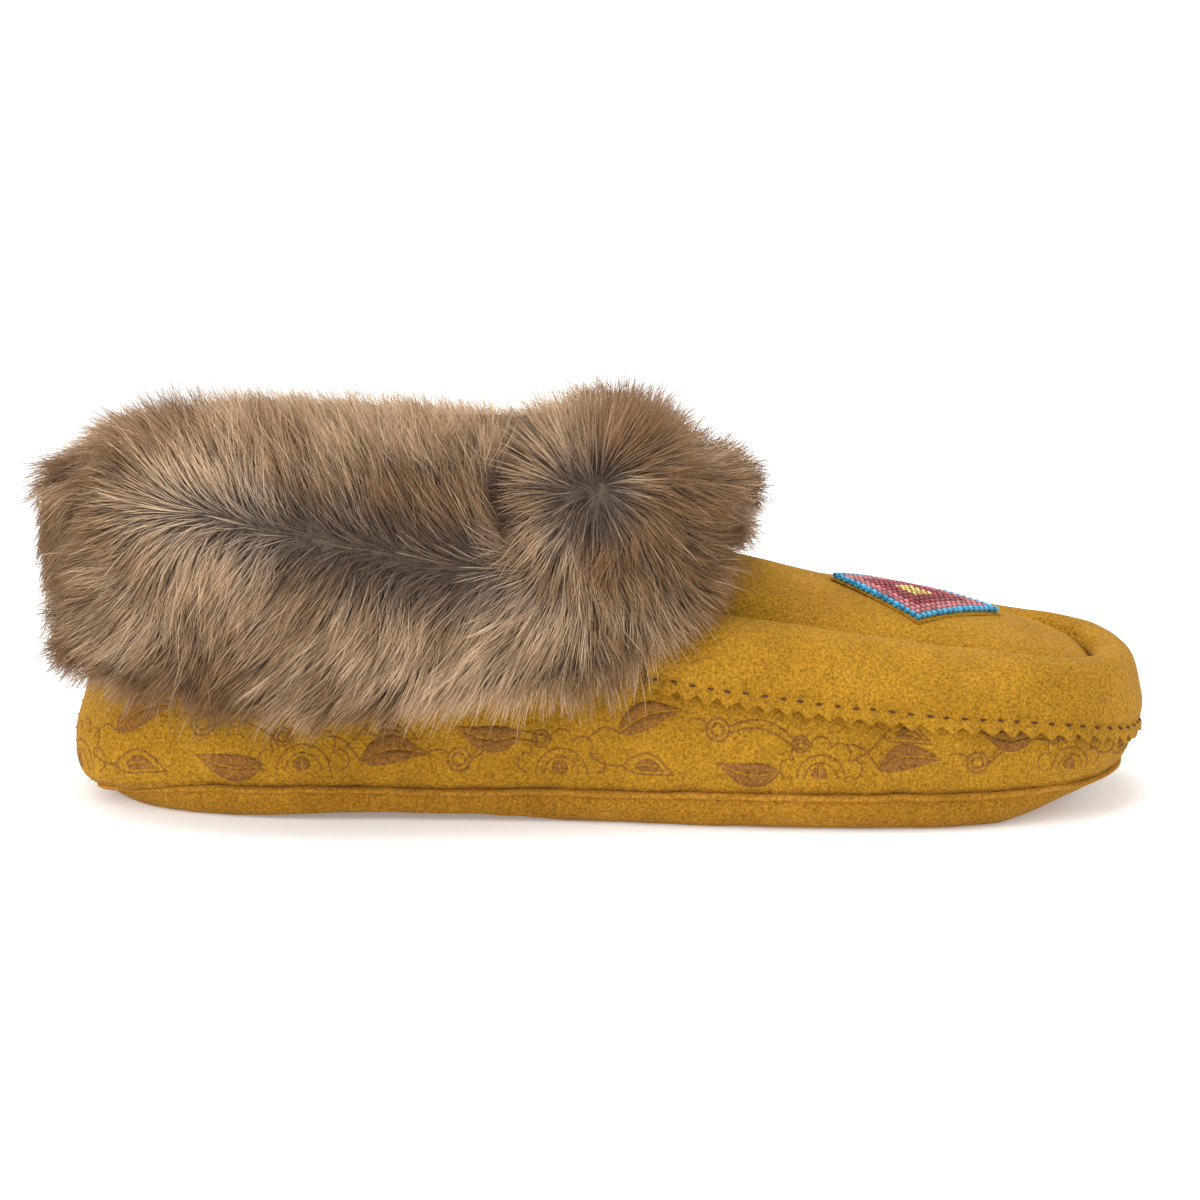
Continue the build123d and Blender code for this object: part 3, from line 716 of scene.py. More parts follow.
def make_plug():
    """Crowned vamp panel, sunk a little where it meets the roll."""
    solid = tree("vamp_plug")
    low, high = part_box("vamp_plug")
    columns, rows = 190, 72
    grid = np.zeros((columns, rows, 3))
    for j in range(columns):
        x = low.x + 0.3 * MM + (high.x - low.x - 0.6 * MM) * j / (columns - 1)
        ys = [low.y + (high.y - low.y) * k / 240 for k in range(241)]
        hits = [y for y in ys if solid.ray_cast(Vector((x, y, 0.1)), -UP)[0]]
        for i in range(rows):
            y = hits[0] + (hits[-1] - hits[0]) * i / (rows - 1)
            z = solid.ray_cast(Vector((x, y * 0.999, 0.1)), -UP)[0].z
            grid[j, i] = (x, y, z)
    grid = soften(soften(grid, 6, False), 5, False, 1)
    for j in range(columns):
        for i in range(rows):
            spot = Vector(grid[j, i])
            grid[j, i, 2] += ripple(spot, (40, 0.5), (130, 0.12))
            from_edge = min(i, rows - 1 - i) / (rows - 1) * (grid[j, -1, 1] - grid[j, 0, 1])
            from_edge = min(from_edge, grid[-1, i, 0] - spot.x)
            grid[j, i, 2] -= 2.5 * MM * math.exp(-from_edge / (3.5 * MM))
    tuck = 2.0 * MM
    grid = np.pad(grid, ((0, 1), (1, 1), (0, 0)), mode="edge")
    grid[:, 0] += np.array([0.0, -tuck, -tuck])
    grid[:, -1] += np.array([0.0, tuck, -tuck])
    grid[-1] += np.array([tuck, 0.0, -tuck])
    obj = add_skin("vamp_plug_suede", grid, SUEDE, closed=False)
    thicken(obj, 1.4 * MM)
    stand_for(obj, "suede", "vamp_plug")
    return grid


def make_vamp_lining(plug_grid):
    """Fleece under the plug, curled on the side that faces the foot."""
    grid = plug_grid[2:-8, 8:-8].copy()
    columns, rows = grid.shape[:2]
    for j in range(columns):
        for i in range(rows):
            grid[j, i, 2] += ripple(Vector(grid[j, i]), (420, 0.9)) - 5.4 * MM
    obj = add_skin("vamp_fleece", grid, FLEECE, closed=False, inward=True)
    thicken(obj, 1.6 * MM)
    stand_for(obj, "fleece", "lining_vamp")


def stitch(verts, faces, centre, run, out, length, radius):
    """One short thread: bowed up in the middle, both ends sunk in the leather."""
    steps, sides = 7, 7
    start = len(verts)
    aside = run.cross(out).normalized()
    for i in range(steps):
        t = i / (steps - 1)
        rise = math.sin(math.pi * t) * radius * 1.7 - radius * 1.0
        middle = centre + run * (t - 0.5) * length + out * rise
        swell = radius * (0.75 + 0.25 * math.sin(math.pi * t) + 0.08 * math.sin(t * 19))
        for k in range(sides):
            angle = 2 * math.pi * k / sides + t * 1.6
            verts.append(middle + out * math.sin(angle) * swell + aside * math.cos(angle) * swell)
    for i in range(steps - 1):
        for k in range(sides):
            m = (k + 1) % sides
            a = start + i * sides
            faces.append((a + k, a + m, a + sides + m, a + sides + k))
    faces.append(tuple(start + k for k in reversed(range(sides))))
    faces.append(tuple(start + (steps - 1) * sides + k for k in range(sides)))


def stitch_row(name, node, places, length, radius, material):
    """Row of stitches at (centre, run, outward) places."""
    verts = []
    faces = []
    for centre, run, out in places:
        tilt = random.uniform(-0.12, 0.12)
        stitch(verts, faces, centre, (run + out.cross(run) * tilt).normalized(), out,
               length * random.uniform(0.86, 1.08), radius)
    stand_for(add_object(name, verts, faces, material), "thread_brown", node)


def make_apron_stitches(grid, normals):
    """Running stitches above the pinked edge of the roll."""
    places = []
    count = int(len(grid) * STEP / STITCH_PITCH)
    for k in range(count):
        j = min(int((k + 0.5) * STITCH_PITCH / STEP), len(grid) - 2)
        reach = path_lengths(grid[j])
        i = int(np.argmin(np.abs(reach - STITCH_UP)))
        run = Vector(grid[j + 1, i] - grid[j, i]).normalized()
        places.append((Vector(grid[j, i]), run, Vector(normals[j, i])))
    stitch_row("apron_stitching", "apron_stitches", places, 2.5 * MM, 0.36 * MM, THREAD)


def make_crease_stitches(grid):
    """Whip stitches over the crease between roll and plug."""
    places = []
    count = int(len(grid) * STEP / WHIP_PITCH)
    for k in range(1, count):
        j = min(int(k * WHIP_PITCH / STEP), len(grid) - 2)
        across = Vector(grid[j, -2] - grid[j, -1]).normalized()
        places.append((Vector(grid[j, -1]) - UP * 0.2 * MM, across, UP.copy()))
    stitch_row("crease_stitching", "plug_seam_thread", places, 1.6 * MM, 0.26 * MM, THREAD)


def make_sole_stitches(surface, length):
    """Tan running stitches just above the sole seam."""
    places = []
    for k in range(int(length / SOLE_PITCH)):
        here = Vector(surface.place(k * SOLE_PITCH * MM, 1.1 * MM, 0.02 * MM))
        ahead = Vector(surface.place((k * SOLE_PITCH + 1.0) * MM, 1.1 * MM, 0.02 * MM))
        run = (ahead - here).normalized()
        places.append((here, run, run.cross(UP).normalized()))
    stitch_row("sole_stitching", "sole_seam_thread", places, 1.5 * MM, 0.2 * MM, THREAD_TAN)


def make_heel_stitches(surface):
    """Stitches across the heel seam."""
    places = []
    for k in range(9):
        here = Vector(surface.place(0.0, (4 + k * HEEL_PITCH) * MM, -0.10 * MM))
        places.append((here, Vector((0, 1, 0)), Vector((-1, 0, 0))))
    stitch_row("heel_stitching", "heel_seam_thread", places, 2.2 * MM, 0.24 * MM, THREAD_TAN)


# ---- beads
def islands(mesh):
    """Vertex groups of the separate solids in a mesh, joined where corners coincide."""
    work = bmesh.new()
    work.from_mesh(mesh)
    bmesh.ops.remove_doubles(work, verts=work.verts, dist=1e-6)
    seen = set()
    groups = []
    for vert in work.verts:
        if vert in seen:
            continue
        stack = [vert]
        seen.add(vert)
        group = []
        while stack:
            here = stack.pop()
            group.append(here.co.copy())
            for edge in here.link_edges:
                other = edge.other_vert(here)
                if other not in seen:
                    seen.add(other)
                    stack.append(other)
        groups.append(group)
    work.free()
    return groups


BEAD_HOLE = 0.24 * MM       # radii and length
BEAD_RADIUS = 0.76 * MM
BEAD_LENGTH = 1.26 * MM


def bead(verts, faces, centre, axis, radius, length):
    """Rounded seed bead with a hole along its thread."""
    rounds, sides = 10, 14
    aside = axis.orthogonal().normalized()
    over = axis.cross(aside)
    start = len(verts)
    tube = (radius - BEAD_HOLE) / 2
    ring = BEAD_HOLE + tube
    for i in range(sides):
        angle = 2 * math.pi * i / sides
        way = aside * math.cos(angle) + over * math.sin(angle)
        for k in range(rounds):
            turn = 2 * math.pi * k / rounds
            verts.append(centre + way * (ring + tube * math.cos(turn)) + axis * length / 2 * math.sin(turn))
    for i in range(sides):
        m = (i + 1) % sides
        for k in range(rounds):
            n = (k + 1) % rounds
            faces.append((start + i * rounds + k, start + m * rounds + k,
                          start + m * rounds + n, start + i * rounds + n))


def make_beads():
    """One rounded bead in the place and direction of each CAD bead."""
    for node, (slot, material) in BEAD_LOOKS.items():
        verts = []
        faces = []
        for group in islands(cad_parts[node].data):
            points = np.array([tuple(v) for v in group])
            centre = (points.max(0) + points.min(0)) / 2
            spread = np.linalg.svd(points - points.mean(0))
            reach = (points - centre) @ spread[2].T
            sizes = reach.max(0) - reach.min(0)
            axis = Vector(spread[2][int(np.argmin(sizes))]).normalized()
            tilt = Vector([random.uniform(-0.14, 0.14) for _ in range(3)])
            size = random.uniform(0.94, 1.06)
            bead(verts, faces, Vector(centre), (axis + tilt).normalized(),
                 BEAD_RADIUS * size, BEAD_LENGTH * size)
        stand_for(add_object(node + "_glass", verts, faces, material), slot, node)


# ---- lining and footbed
def make_lining():
    """Curled fleece on the inside of the wall."""
    grid = side_skin(tree("lining_sides"), WALL_ROWS, outside=False, power=1.0)
    normals = grid_normals(grid, True)
    for column in range(COLUMNS):
        for row in range(WALL_ROWS):
            curl = ripple(Vector(grid[column, row]), (320, 0.56), (700, 0.35)) + 0.42 * MM
            grid[column, row] -= normals[column, row] * curl
    obj = add_skin("lining_fleece", grid, FLEECE, inward=True)
    thicken(obj, 2.2 * MM)
    stand_for(obj, "fleece", "lining_sides")


def make_footbed():
    """Fleece insole: a padded disc that fills the floor of the shoe."""
    solid = tree("footbed_fleece")
    low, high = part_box("footbed_fleece")
    rings = [1.0, 0.985, 0.95, 0.88, 0.78, 0.66, 0.52, 0.38, 0.24, 0.10, 0.0]
    grid = np.zeros((COLUMNS, len(rings) + 1, 3))
    for column in range(COLUMNS):
        out = Vector(OUT[column])
        edge = solid.ray_cast(at_height(column, (low.z + high.z) / 2) + out * 0.02, -out, 0.05)[0]
        edge = edge or at_height(column, high.z) - out * 0.006
        grid[column, 0] = (edge.x, edge.y, low.z)
        for k, share in enumerate(rings):
            point = spine_point(edge) * (1 - share) + np.array(edge) * share
            spot = Vector((point[0], point[1], 0))
            crown = 0.4 * MM + ripple(spot, (300, 0.5), (60, 0.5))
            point[2] = high.z - 0.9 * MM * (share > 0.99) + crown * (share < 0.99)
            grid[column, k + 1] = point
    obj = add_skin("footbed_fleece_pad", grid, FLEECE)
    stand_for(obj, "fleece", "footbed_fleece")


MOUTH_RAYS = 1080


def mouth_ring(ray_tree, z, count):
    """Even points round the inside of the mouth at one height, starting at the heel."""
    centre = Vector((-0.048, 0.0, z))
    hits = []
    for k in range(MOUTH_RAYS + 1):
        angle = math.pi + 2 * math.pi * k / MOUTH_RAYS
        hit = ray_tree.ray_cast(centre, Vector((math.cos(angle), math.sin(angle), 0)))[0]
        if hit:
            hits.append(hit)
    return resample(hits + [hits[0]], count + 1)[:-1]


def make_cuff_facing():
    """Short pile on the inner fold of the cuff, round the mouth."""
    pelt = tree(*PELTS)
    count, rows = 720, 12
    low, high = 73.0 * MM, 85.6 * MM
    levels = [low + (high - low) * i / (rows - 1) for i in range(rows)]
    grid = np.stack([mouth_ring(pelt, z, count) for z in levels], axis=1)
    grid = soften(grid, 4, True)
    normals = grid_normals(grid, True)
    for j in range(count):
        for i in range(rows):
            curl = 0.7 * MM + ripple(Vector(grid[j, i]), (320, 0.7), (800, 0.4))
            grid[j, i] -= normals[j, i] * curl
    obj = add_skin("cuff_facing", grid, FACING, inward=True)
    thicken(obj, 1.8 * MM)
    stand_for(obj, "pelt", *PELTS)


def make_throat():
    """Fleece facing that closes the front of the mouth between the cuff and the vamp."""
    pelt = tree(*PELTS)
    plug = tree("vamp_plug")
    centre = Vector((-0.020, 0.0, 0.078))
    columns, rows = 61, 9
    grid = np.zeros((columns, rows, 3))
    for j in range(columns):
        angle = math.radians(-66 + 132 * j / (columns - 1))
        way = Vector((math.cos(angle), math.sin(angle), 0))
        hit = pelt.ray_cast(centre, way)[0]
        hit = hit + way * 7.0 * MM * ease(abs(angle), math.radians(40), math.radians(64))
        foot = hit + way * 2.0 * MM
        below = plug.ray_cast(Vector((foot.x, foot.y, 0.1)), -UP)[0]
        low = below.z - 0.6 * MM if below else 0.045
        for i in range(rows):
            t = i / (rows - 1)
            spot = hit.lerp(foot, 1 - t)
            z = low + (0.084 - low) * t
            curl = ripple(Vector((spot.x, spot.y, z)), (400, 0.8))
            grid[j, i] = (spot.x - way.x * curl, spot.y - way.y * curl, z)
    obj = add_skin("throat_fleece", grid, FLEECE, closed=False)
    thicken(obj, 1.4 * MM)
    stand_for(obj, "fleece")


# ---- fur
FUR_NODES = [f"fur_{part}_{side}" for part in ("heel", "side", "lobe") for side in ("near", "far")]
LOBE_CENTRE = Vector((0.000, 0.047, 0.082))
LOBE_RADIUS = 19 * MM       # crease round the front lobe of the cuff
CREST = 80 * MM             # the cuff starts to close over the collar here
ROOT_DEPTH = 4.5 * MM
VOXEL = 3.0 * MM            # joins the fur solids into one form
SMOOTH_PASSES = 10
TIP_LIMIT = cad_box[1][2] + 11 * MM     # no hair stands higher than this
SIDE_LIMIT = cad_box[1][1] + 11 * MM    # nor further out than this
STRANDS_PER_PIECE = 8800
FUR_PIECES = 9
SKIN_GAP = 3.2 * MM         # closer to leather than this, no hair grows towards it
HAIR_SHORT, HAIR_LONG = 10.0 * MM, 15.5 * MM
HAIR_THIN, HAIR_THICK = 0.08 * MM, 0.15 * MM
GUARD_SHARE = 0.16          # longer, coarser hairs with tips of their own colour
LOWEST_ROOT = 22 * MM
HAIR_STOPS = (0.0, 0.28, 0.56, 0.82)    # a hair has three corners at each, then a tip
HAIR_CORNERS = 3 * len(HAIR_STOPS) + 1


def lobe_place(point):
    """Distance from the lobe's whorl in side view, and how far it lies up and behind it."""
    dx = point.x - LOBE_CENTRE.x
    dz = point.z - LOBE_CENTRE.z
    distance = math.hypot(dx, dz)
    behind = ease(-dx, -0.008, 0.004) * ease(dz, -0.012, 0.0)
    return distance, behind


def parting_height(x):
    """Height of the line from which the hair lies up above and down below."""
    return 0.0815 - 0.20 * (min(x, -0.028) + 0.107)


def shape_form(mesh):
    """Rounds the lobe, presses a crease behind it and lowers the outer side's crest."""
    for vert in mesh.vertices:
        point = vert.co
        side = -1.0 if point.y < 0 else 1.0
        outer = ease(abs(point.y), 0.016, 0.034)
        distance, behind = lobe_place(point)
        crease = bell(distance, LOBE_RADIUS, 4.5 * MM) * behind
        crease *= 1 - 0.8 * ease(point.z, 0.088, 0.098)
        bulge = (1 - ease(distance, 0.006, LOBE_RADIUS)) * outer
        point.y += side * (3.6 * bulge - 2.8 * crease * outer) * MM
        over = max(point.z - CREST, 0.0)
        lobe = ease(point.x, -0.014, 0.002)
        ends = max(ease(-point.x, 0.100, 0.134), 0.7 * ease(point.x, 0.004, 0.040))
        drop = 0.42 - 0.22 * lobe if side > 0 else 0.12 * lobe
        point.z -= over * max(drop, 0.72 * ends)
        point.x -= 4.5 * MM * ease(point.x, 0.014, 0.034) * ease(point.z, 0.070, 0.094)
        if side > 0:
            point.z -= 0.35 * max(point.z - 0.068, 0.0) * ease(point.x, 0.004, 0.032)


def fur_form():
    """One closed skin round all the fur solids."""
    obj = add_object("underfur_skin", *merged(FUR_NODES), UNDERFUR)
    work = bmesh.new()
    work.from_mesh(obj.data)
    bmesh.ops.remove_doubles(work, verts=work.verts, dist=1e-6)
    work.to_mesh(obj.data)
    work.free()
    mod = obj.modifiers.new("remesh", "REMESH")
    mod.mode = "VOXEL"
    mod.voxel_size = VOXEL
    graph = bpy.context.evaluated_depsgraph_get()
    mesh = bpy.data.meshes.new_from_object(obj.evaluated_get(graph))
    obj.modifiers.clear()
    obj.data = mesh
    work = bmesh.new()
    work.from_mesh(mesh)
    for _ in range(SMOOTH_PASSES):
        bmesh.ops.smooth_vert(work, verts=work.verts, factor=0.5, use_axis_x=True, use_axis_y=True,
                              use_axis_z=True)
    work.to_mesh(mesh)
    work.free()
    shape_form(mesh)
    mesh.update()
    return obj


def scatter(mesh, count):
    """Random even points on a mesh with their smooth normals."""
    mesh.calc_loop_triangles()
    spots = np.zeros(len(mesh.vertices) * 3)
    mesh.vertices.foreach_get("co", spots)
    spots = spots.reshape(-1, 3)
    normals = np.array([tuple(v.normal) for v in mesh.vertices])
    corners = np.array([t.vertices[:] for t in mesh.loop_triangles])
    a, b, c = (spots[corners[:, k]] for k in range(3))
    area = np.linalg.norm(np.cross(b - a, c - a), axis=1)
    chosen = rng.choice(len(corners), size=count, p=area / area.sum())
    u = rng.random(count)
    v = rng.random(count)
    flip = u + v > 1
    u[flip], v[flip] = 1 - u[flip], 1 - v[flip]
    w = 1 - u - v
    points = a[chosen] * w[:, None] + b[chosen] * u[:, None] + c[chosen] * v[:, None]
    na, nb, nc = (normals[corners[chosen, k]] for k in range(3))
    normal = na * w[:, None] + nb * u[:, None] + nc * v[:, None]
    return points, normal / np.linalg.norm(normal, axis=1, keepdims=True)


def lie(point, normal):
    """Direction in which the hair is combed at a point of the cuff."""
    side = -1.0 if point.y < 0 else 1.0
    centre = Vector((LOBE_CENTRE.x, LOBE_CENTRE.y * side, LOBE_CENTRE.z))
    radial = (point - centre).normalized()
    parting = parting_height(point.x)
    heel = ease(-point.x, 0.090, 0.128)
    blend = (3 + 11 * heel) * MM
    above = ease(point.z, parting - blend, parting + blend)
    down = Vector((-0.55, 0.12 * side, -1.0))
    upward = Vector((-0.42, -0.05 * side, 1.0))
    comb = down.lerp(upward, above)
    comb = comb.lerp(Vector((-1.0, 0.0, 0.60 * above - 0.45)), heel)
    distance, behind = lobe_place(point)
    inside = 1 - ease(distance, LOBE_RADIUS - 3 * MM, LOBE_RADIUS + 9 * MM)
    lobe = max(inside, ease(point.x, -0.030, -0.006) * (1 - behind))
    comb = comb.lerp(radial, lobe)
    crown = ease(normal.z, 0.6, 0.9) * (1 - lobe)
    comb = comb.lerp(Vector((-0.3, 0.1 * side, 0.6)), crown)
    swirl = noise.noise_vector(point * 38) * 0.6 + noise.noise_vector(point * 150) * 0.6
    comb = comb + swirl
    comb = comb - normal * comb.dot(normal)
    comb += Vector((0.0, side * 1.6, 0.2)) * ease(-normal.z, 0.05, 0.6)
    return comb.normalized() if comb.length > 1e-6 else Vector((0, 0, -1))


def tone_of(point):
    """0 for pale grey-tan hair, 1 for dark brown."""
    distance, _ = lobe_place(point)
    tone = 0.48 + 1.15 * noise.noise(point * 34) + 0.75 * noise.noise(point * 110)
    tone += 0.28 * ease(-point.x, 0.080, 0.125)
    tone += 0.40 * (1 - ease(point.z, 0.034, 0.060)) * ease(-point.x, 0.010, 0.050)
    tone += 0.34 * ease(point.z, 0.084, 0.092) * ease(-point.x, 0.055, 0.080)
    pale_top = ease(-point.x, 0.018, 0.028) * ease(point.x, -0.070, -0.052)
    tone -= 0.40 * ease(point.z, 0.086, 0.093) * pale_top
    rim = bell(distance, LOBE_RADIUS - 1.0 * MM, 5.0 * MM)
    tone += 0.45 * rim * ease(point.z, 0.070, 0.084)
    tone += 0.42 * ease(point.x, 0.010, 0.030)
    tone -= 0.28 * ease(point.x, -0.085, -0.045) * ease(-point.x, -0.004, 0.016)
    return tone


def slate_of(point):
    """1 where only the grey roots of the hair show: the parting and the whorl."""
    distance, behind = lobe_place(point)
    whorl = 1 - ease(distance, 0.003, 0.010)
    from_parting = abs(point.z - parting_height(point.x))
    parting = (1 - ease(from_parting, 0.002, 0.011)) * ease(point.x, -0.095, -0.060)
    parting *= ease(-point.x, 0.006, 0.024)
    return max(whorl, parting, bell(distance, LOBE_RADIUS, 3.0 * MM) * behind)


def hair_bend(t, outs, ways, stands):
    """Where hairs of length 1 are at share t: lying ones bend over, standing ones hardly."""
    lying = outs * (0.80 * t - 0.42 * t * t) + ways * (0.45 * t + 0.50 * t * t)
    standing = outs * (0.92 * t) + ways * (0.35 * t * t)
    share = stands[:, None]
    return lying * (1 - share) + standing * share


def hair_faces():
    """Faces of one hair: the root's end, three sides of each stretch and the tip."""
    faces = [(2, 1, 0)]
    for base in range(0, HAIR_CORNERS - 4, 3):
        for k in range(3):
            m = (k + 1) % 3
            faces.append((base + k, base + m, base + 3 + m, base + 3 + k))
    last = HAIR_CORNERS - 4
    faces += [(last + k, last + (k + 1) % 3, HAIR_CORNERS - 1) for k in range(3)]
    return faces


def strand_mesh(name, roots, ways, outs, lengths, widths, tones, stands, slates):
    """Closed three-sided tapering hairs, bent from outward to the combed direction."""
    count = len(roots)
    aside = np.cross(ways, outs)
    aside /= np.linalg.norm(aside, axis=1, keepdims=True)
    verts = np.zeros((count, HAIR_CORNERS, 3))
    along = np.ones(HAIR_CORNERS)
    for ring, t in enumerate(HAIR_STOPS):
        middle = roots + hair_bend(t, outs, ways, stands) * lengths[:, None]
        radius = widths * (1.0 - 0.72 * t)
        for k in range(3):
            angle = 2 * math.pi * k / 3
            offset = aside * math.cos(angle) + outs * math.sin(angle)
            verts[:, ring * 3 + k] = middle + offset * radius[:, None]
            along[ring * 3 + k] = t
    verts[:, -1] = roots + hair_bend(1.0, outs, ways, stands) * lengths[:, None]
    pattern = hair_faces()
    corners = np.array([i for face in pattern for i in face])
    loops = (corners[None, :] + np.arange(count)[:, None] * HAIR_CORNERS).ravel()
    totals = np.tile([len(face) for face in pattern], count)
    starts = np.concatenate([[0], np.cumsum(totals)[:-1]])
    mesh = bpy.data.meshes.new(name)
    mesh.vertices.add(count * HAIR_CORNERS)
    mesh.vertices.foreach_set("co", verts.ravel())
    mesh.loops.add(len(loops))
    mesh.loops.foreach_set("vertex_index", loops.astype(np.int32))
    mesh.polygons.add(len(totals))
    mesh.polygons.foreach_set("loop_start", starts.astype(np.int32))
    mesh.polygons.foreach_set("use_smooth", np.ones(len(totals), dtype=bool))
    mesh.update(calc_edges=True)
    layer = mesh.uv_layers.new(name=HAIR_UV)
    v = 0.02 + 0.96 * along[corners][None, :] * (1 - 0.62 * slates)[:, None]
    u = np.repeat(np.clip(tones, 0.02, 0.98), len(corners))
    layer.data.foreach_set("uv", np.stack([u, v.ravel()], axis=1).ravel())
    mesh.materials.append(FUR)
    obj = bpy.data.objects.new(name, mesh)
    bpy.context.scene.collection.objects.link(obj)
    stand_for(obj, "fur")


def open_places(points, normals, wanted):
    """The first points of the cuff that don't press against leather."""
    skins = tree("side_wall", "toe_roll", "vamp_plug", *PELTS)
    kept = []
    for i in range(len(points)):
        spot = Vector(points[i])
        nearest, _, _, gap = skins.find_nearest(spot, 10 * MM)
        if gap is None or gap > SKIN_GAP or (nearest - spot).dot(Vector(normals[i])) < 0:
            kept.append(i)
        if len(kept) == wanted:
            break
    return points[kept], normals[kept]


def crest_of(point, normal):
    """1 on the crest of the cuff's near side, where the hair stands up."""
    crest = ease(normal[2], 0.45, 0.85) * (1.0 if point[1] < 0 else 0.25)
    crest *= 1 - ease(-point[0], 0.098, 0.122)
    return crest * (1 - 0.8 * ease(point[0], 0.008, 0.024))


def tousle(vectors, spread):
    """Unit vectors, each turned a little at random."""
    turned = vectors + rng.normal(0.0, spread, vectors.shape)
    return turned / np.linalg.norm(turned, axis=1, keepdims=True)


def within_limits(lengths, roots, reach):
    """Lengths cut so that no tip passes the height or width limit."""
    sideways = reach[:, 1] * np.sign(roots[:, 1])
    side_room = (SIDE_LIMIT - np.abs(roots[:, 1])) / np.maximum(sideways, 0.1)
    top_room = (TIP_LIMIT - roots[:, 2]) / np.maximum(reach[:, 2], 0.1)
    return np.minimum(lengths, np.minimum(side_room, top_room))


def sink_form(form):
    """Draws the skin in to the roots of the hair and makes it uneven."""
    work = bmesh.new()
    work.from_mesh(form.data)
    work.normal_update()
    for vert in work.verts:
        vert.co -= vert.normal * (ROOT_DEPTH * 0.75 + ripple(vert.co, (260, 0.7)))
    work.to_mesh(form.data)
    work.free()
    form.data.polygons.foreach_set("use_smooth", [True] * len(form.data.polygons))
    stand_for(form, "fur", *FUR_NODES)


def make_fur():
    """Combed hairs in several pieces, over a skin of underfur."""
    form = fur_form()
    wanted = STRANDS_PER_PIECE * FUR_PIECES
    points, normals = open_places(*scatter(form.data, int(wanted * 2.2)), wanted)
    count = len(points)
    spots = [Vector(point) for point in points]
    ways = np.array([tuple(lie(p, Vector(n))) for p, n in zip(spots, normals)])
    tones = np.array([tone_of(p) for p in spots]) + rng.normal(0.0, 0.24, count)
    slates = np.array([slate_of(p) for p in spots])
    stands = np.array([crest_of(p, n) for p, n in zip(points, normals)])
    outs = tousle(normals, 0.16)
    ways = tousle(ways, 0.13)
    guard = rng.random(count) < GUARD_SHARE
    edge = np.array([max(ease(-n[2], 0.2, 0.8), ease(abs(n[0]), 0.4, 0.9)) for n in normals])
    lengths = rng.uniform(HAIR_SHORT, HAIR_LONG, count) * np.where(guard, 1.2, 1.0)
    lengths *= (1 - 0.22 * edge) * (1 - 0.25 * slates)
    lengths *= 1 + 0.34 * np.where(points[:, 1] < 0, stands, 0.0)
    widths = rng.uniform(HAIR_THIN, HAIR_THICK, count) * np.where(guard, 1.15, 1.0)
    tones = np.where(guard, tones + rng.choice([-0.45, 0.35], count), tones)
    slates = np.where(guard, slates * 0.4, slates)
    roots = points - normals * ROOT_DEPTH
    roots[:, 2] = np.maximum(roots[:, 2], LOWEST_ROOT)
    lengths = within_limits(lengths, roots, hair_bend(1.0, outs, ways, stands))
    order = np.argsort(points[:, 0] + 1000 * (points[:, 1] > 0))
    columns = (roots, ways, outs, lengths, widths, tones, stands, slates)
    for number, chosen in enumerate(np.array_split(order, FUR_PIECES)):
        strand_mesh(f"fur_hair_{number + 1}", *(column[chosen] for column in columns))
    sink_form(form)


# ---- stage, light, camera
def finish_cad(material, *names):
    """Gives kept CAD nodes their material."""
    for name in names:
        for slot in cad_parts[name].material_slots:
            slot.material = material


def make_stage():
    """Pale floor, a hair below the sole."""
    bpy.ops.mesh.primitive_plane_add(size=30.0, location=(0, 0, -0.0002))
    floor = bpy.context.object
    floor.name = "floor"
    look = Look("floor_white", 0.9, 0.1)
    look.colour(look.ramp(look.noise(3.0), (0.2, (0.90, 0.895, 0.89)), (0.8, (0.92, 0.92, 0.92))))
    look.set("Emission Color", (1.0, 0.97, 0.95, 1.0))
    look.set("Emission Strength", 0.22)
    floor.data.materials.append(look.material)


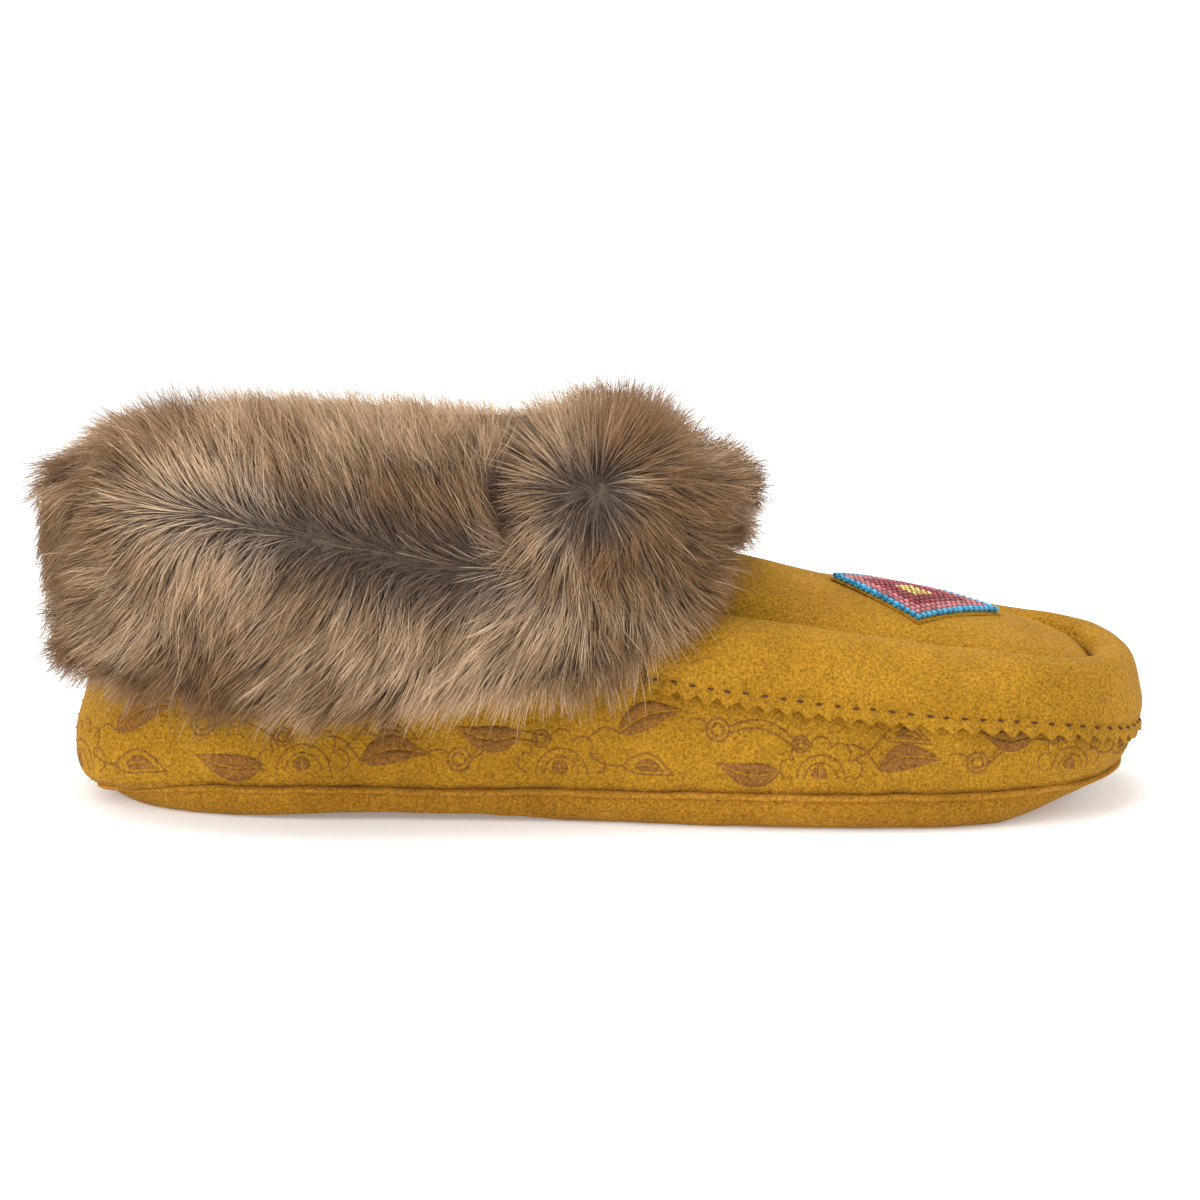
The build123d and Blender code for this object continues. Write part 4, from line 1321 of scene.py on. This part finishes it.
def add_light(name, place, size, power):
    """Square area light aimed at the middle of the shoe."""
    data = bpy.data.lights.new(name, "AREA")
    data.size = size
    data.energy = power
    obj = bpy.data.objects.new(name, data)
    obj.location = place
    aim = Vector((0, 0, 0.04)) - Vector(place)
    obj.rotation_euler = aim.to_track_quat("-Z", "Y").to_euler()
    bpy.context.scene.collection.objects.link(obj)


def make_camera():
    """Long lens from the near side, a little above the shoe."""
    target = Vector((0.0017, 0.0, 0.0468))
    elevation = math.radians(12.5)
    distance = 1.2
    view_width = 0.300
    data = bpy.data.cameras.new("camera")
    data.sensor_width = 36.0
    data.lens = data.sensor_width * distance / view_width
    data.clip_start = 0.05
    camera = bpy.data.objects.new("camera", data)
    way = Vector((0, -math.cos(elevation), math.sin(elevation)))
    camera.location = target + way * distance
    camera.rotation_euler = (target - camera.location).to_track_quat("-Z", "Y").to_euler()
    bpy.context.scene.collection.objects.link(camera)
    bpy.context.scene.camera = camera


def make_light():
    """White surroundings and three soft lights."""
    world = bpy.data.worlds.new("studio")
    world.use_nodes = True
    sockets = world.node_tree.nodes["Background"].inputs
    sockets["Color"].default_value = (1.0, 1.0, 1.0, 1.0)
    sockets["Strength"].default_value = 1.0
    bpy.context.scene.world = world
    bpy.context.scene.view_settings.view_transform = "Standard"
    add_light("top", (-0.15, 0.05, 1.1), 0.9, 7.0)
    add_light("front_left", (-1.0, -0.7, 0.55), 0.6, 6.5)
    add_light("front_right", (0.9, -0.8, 0.6), 0.6, 1.6)


# ---- everything
make_camera()
make_light()
make_stage()
wall_grid = make_side_wall()
wall = WallSurface(wall_grid)
path_mm = STEP * COLUMNS / MM
make_welt(wall_grid[:, 0, 2])
make_outsole(wall_grid[:, 0, 2])
make_print(wall, path_mm)
roll_grid, roll_normals = make_toe_roll()
make_vamp_lining(make_plug())
make_apron_stitches(roll_grid, roll_normals)
make_crease_stitches(roll_grid)
make_sole_stitches(wall, path_mm)
make_heel_stitches(wall)
make_beads()
make_lining()
make_footbed()
make_throat()
make_cuff_facing()
make_fur()
finish_cad(FOAM, "midsole_foam", "footbed_foam")
finish_cad(BOARD, "insole_board", "heel_counter")
finish_cad(SUEDE, "bead_backing")
finish_cad(THREAD_PALE, "bead_threads")
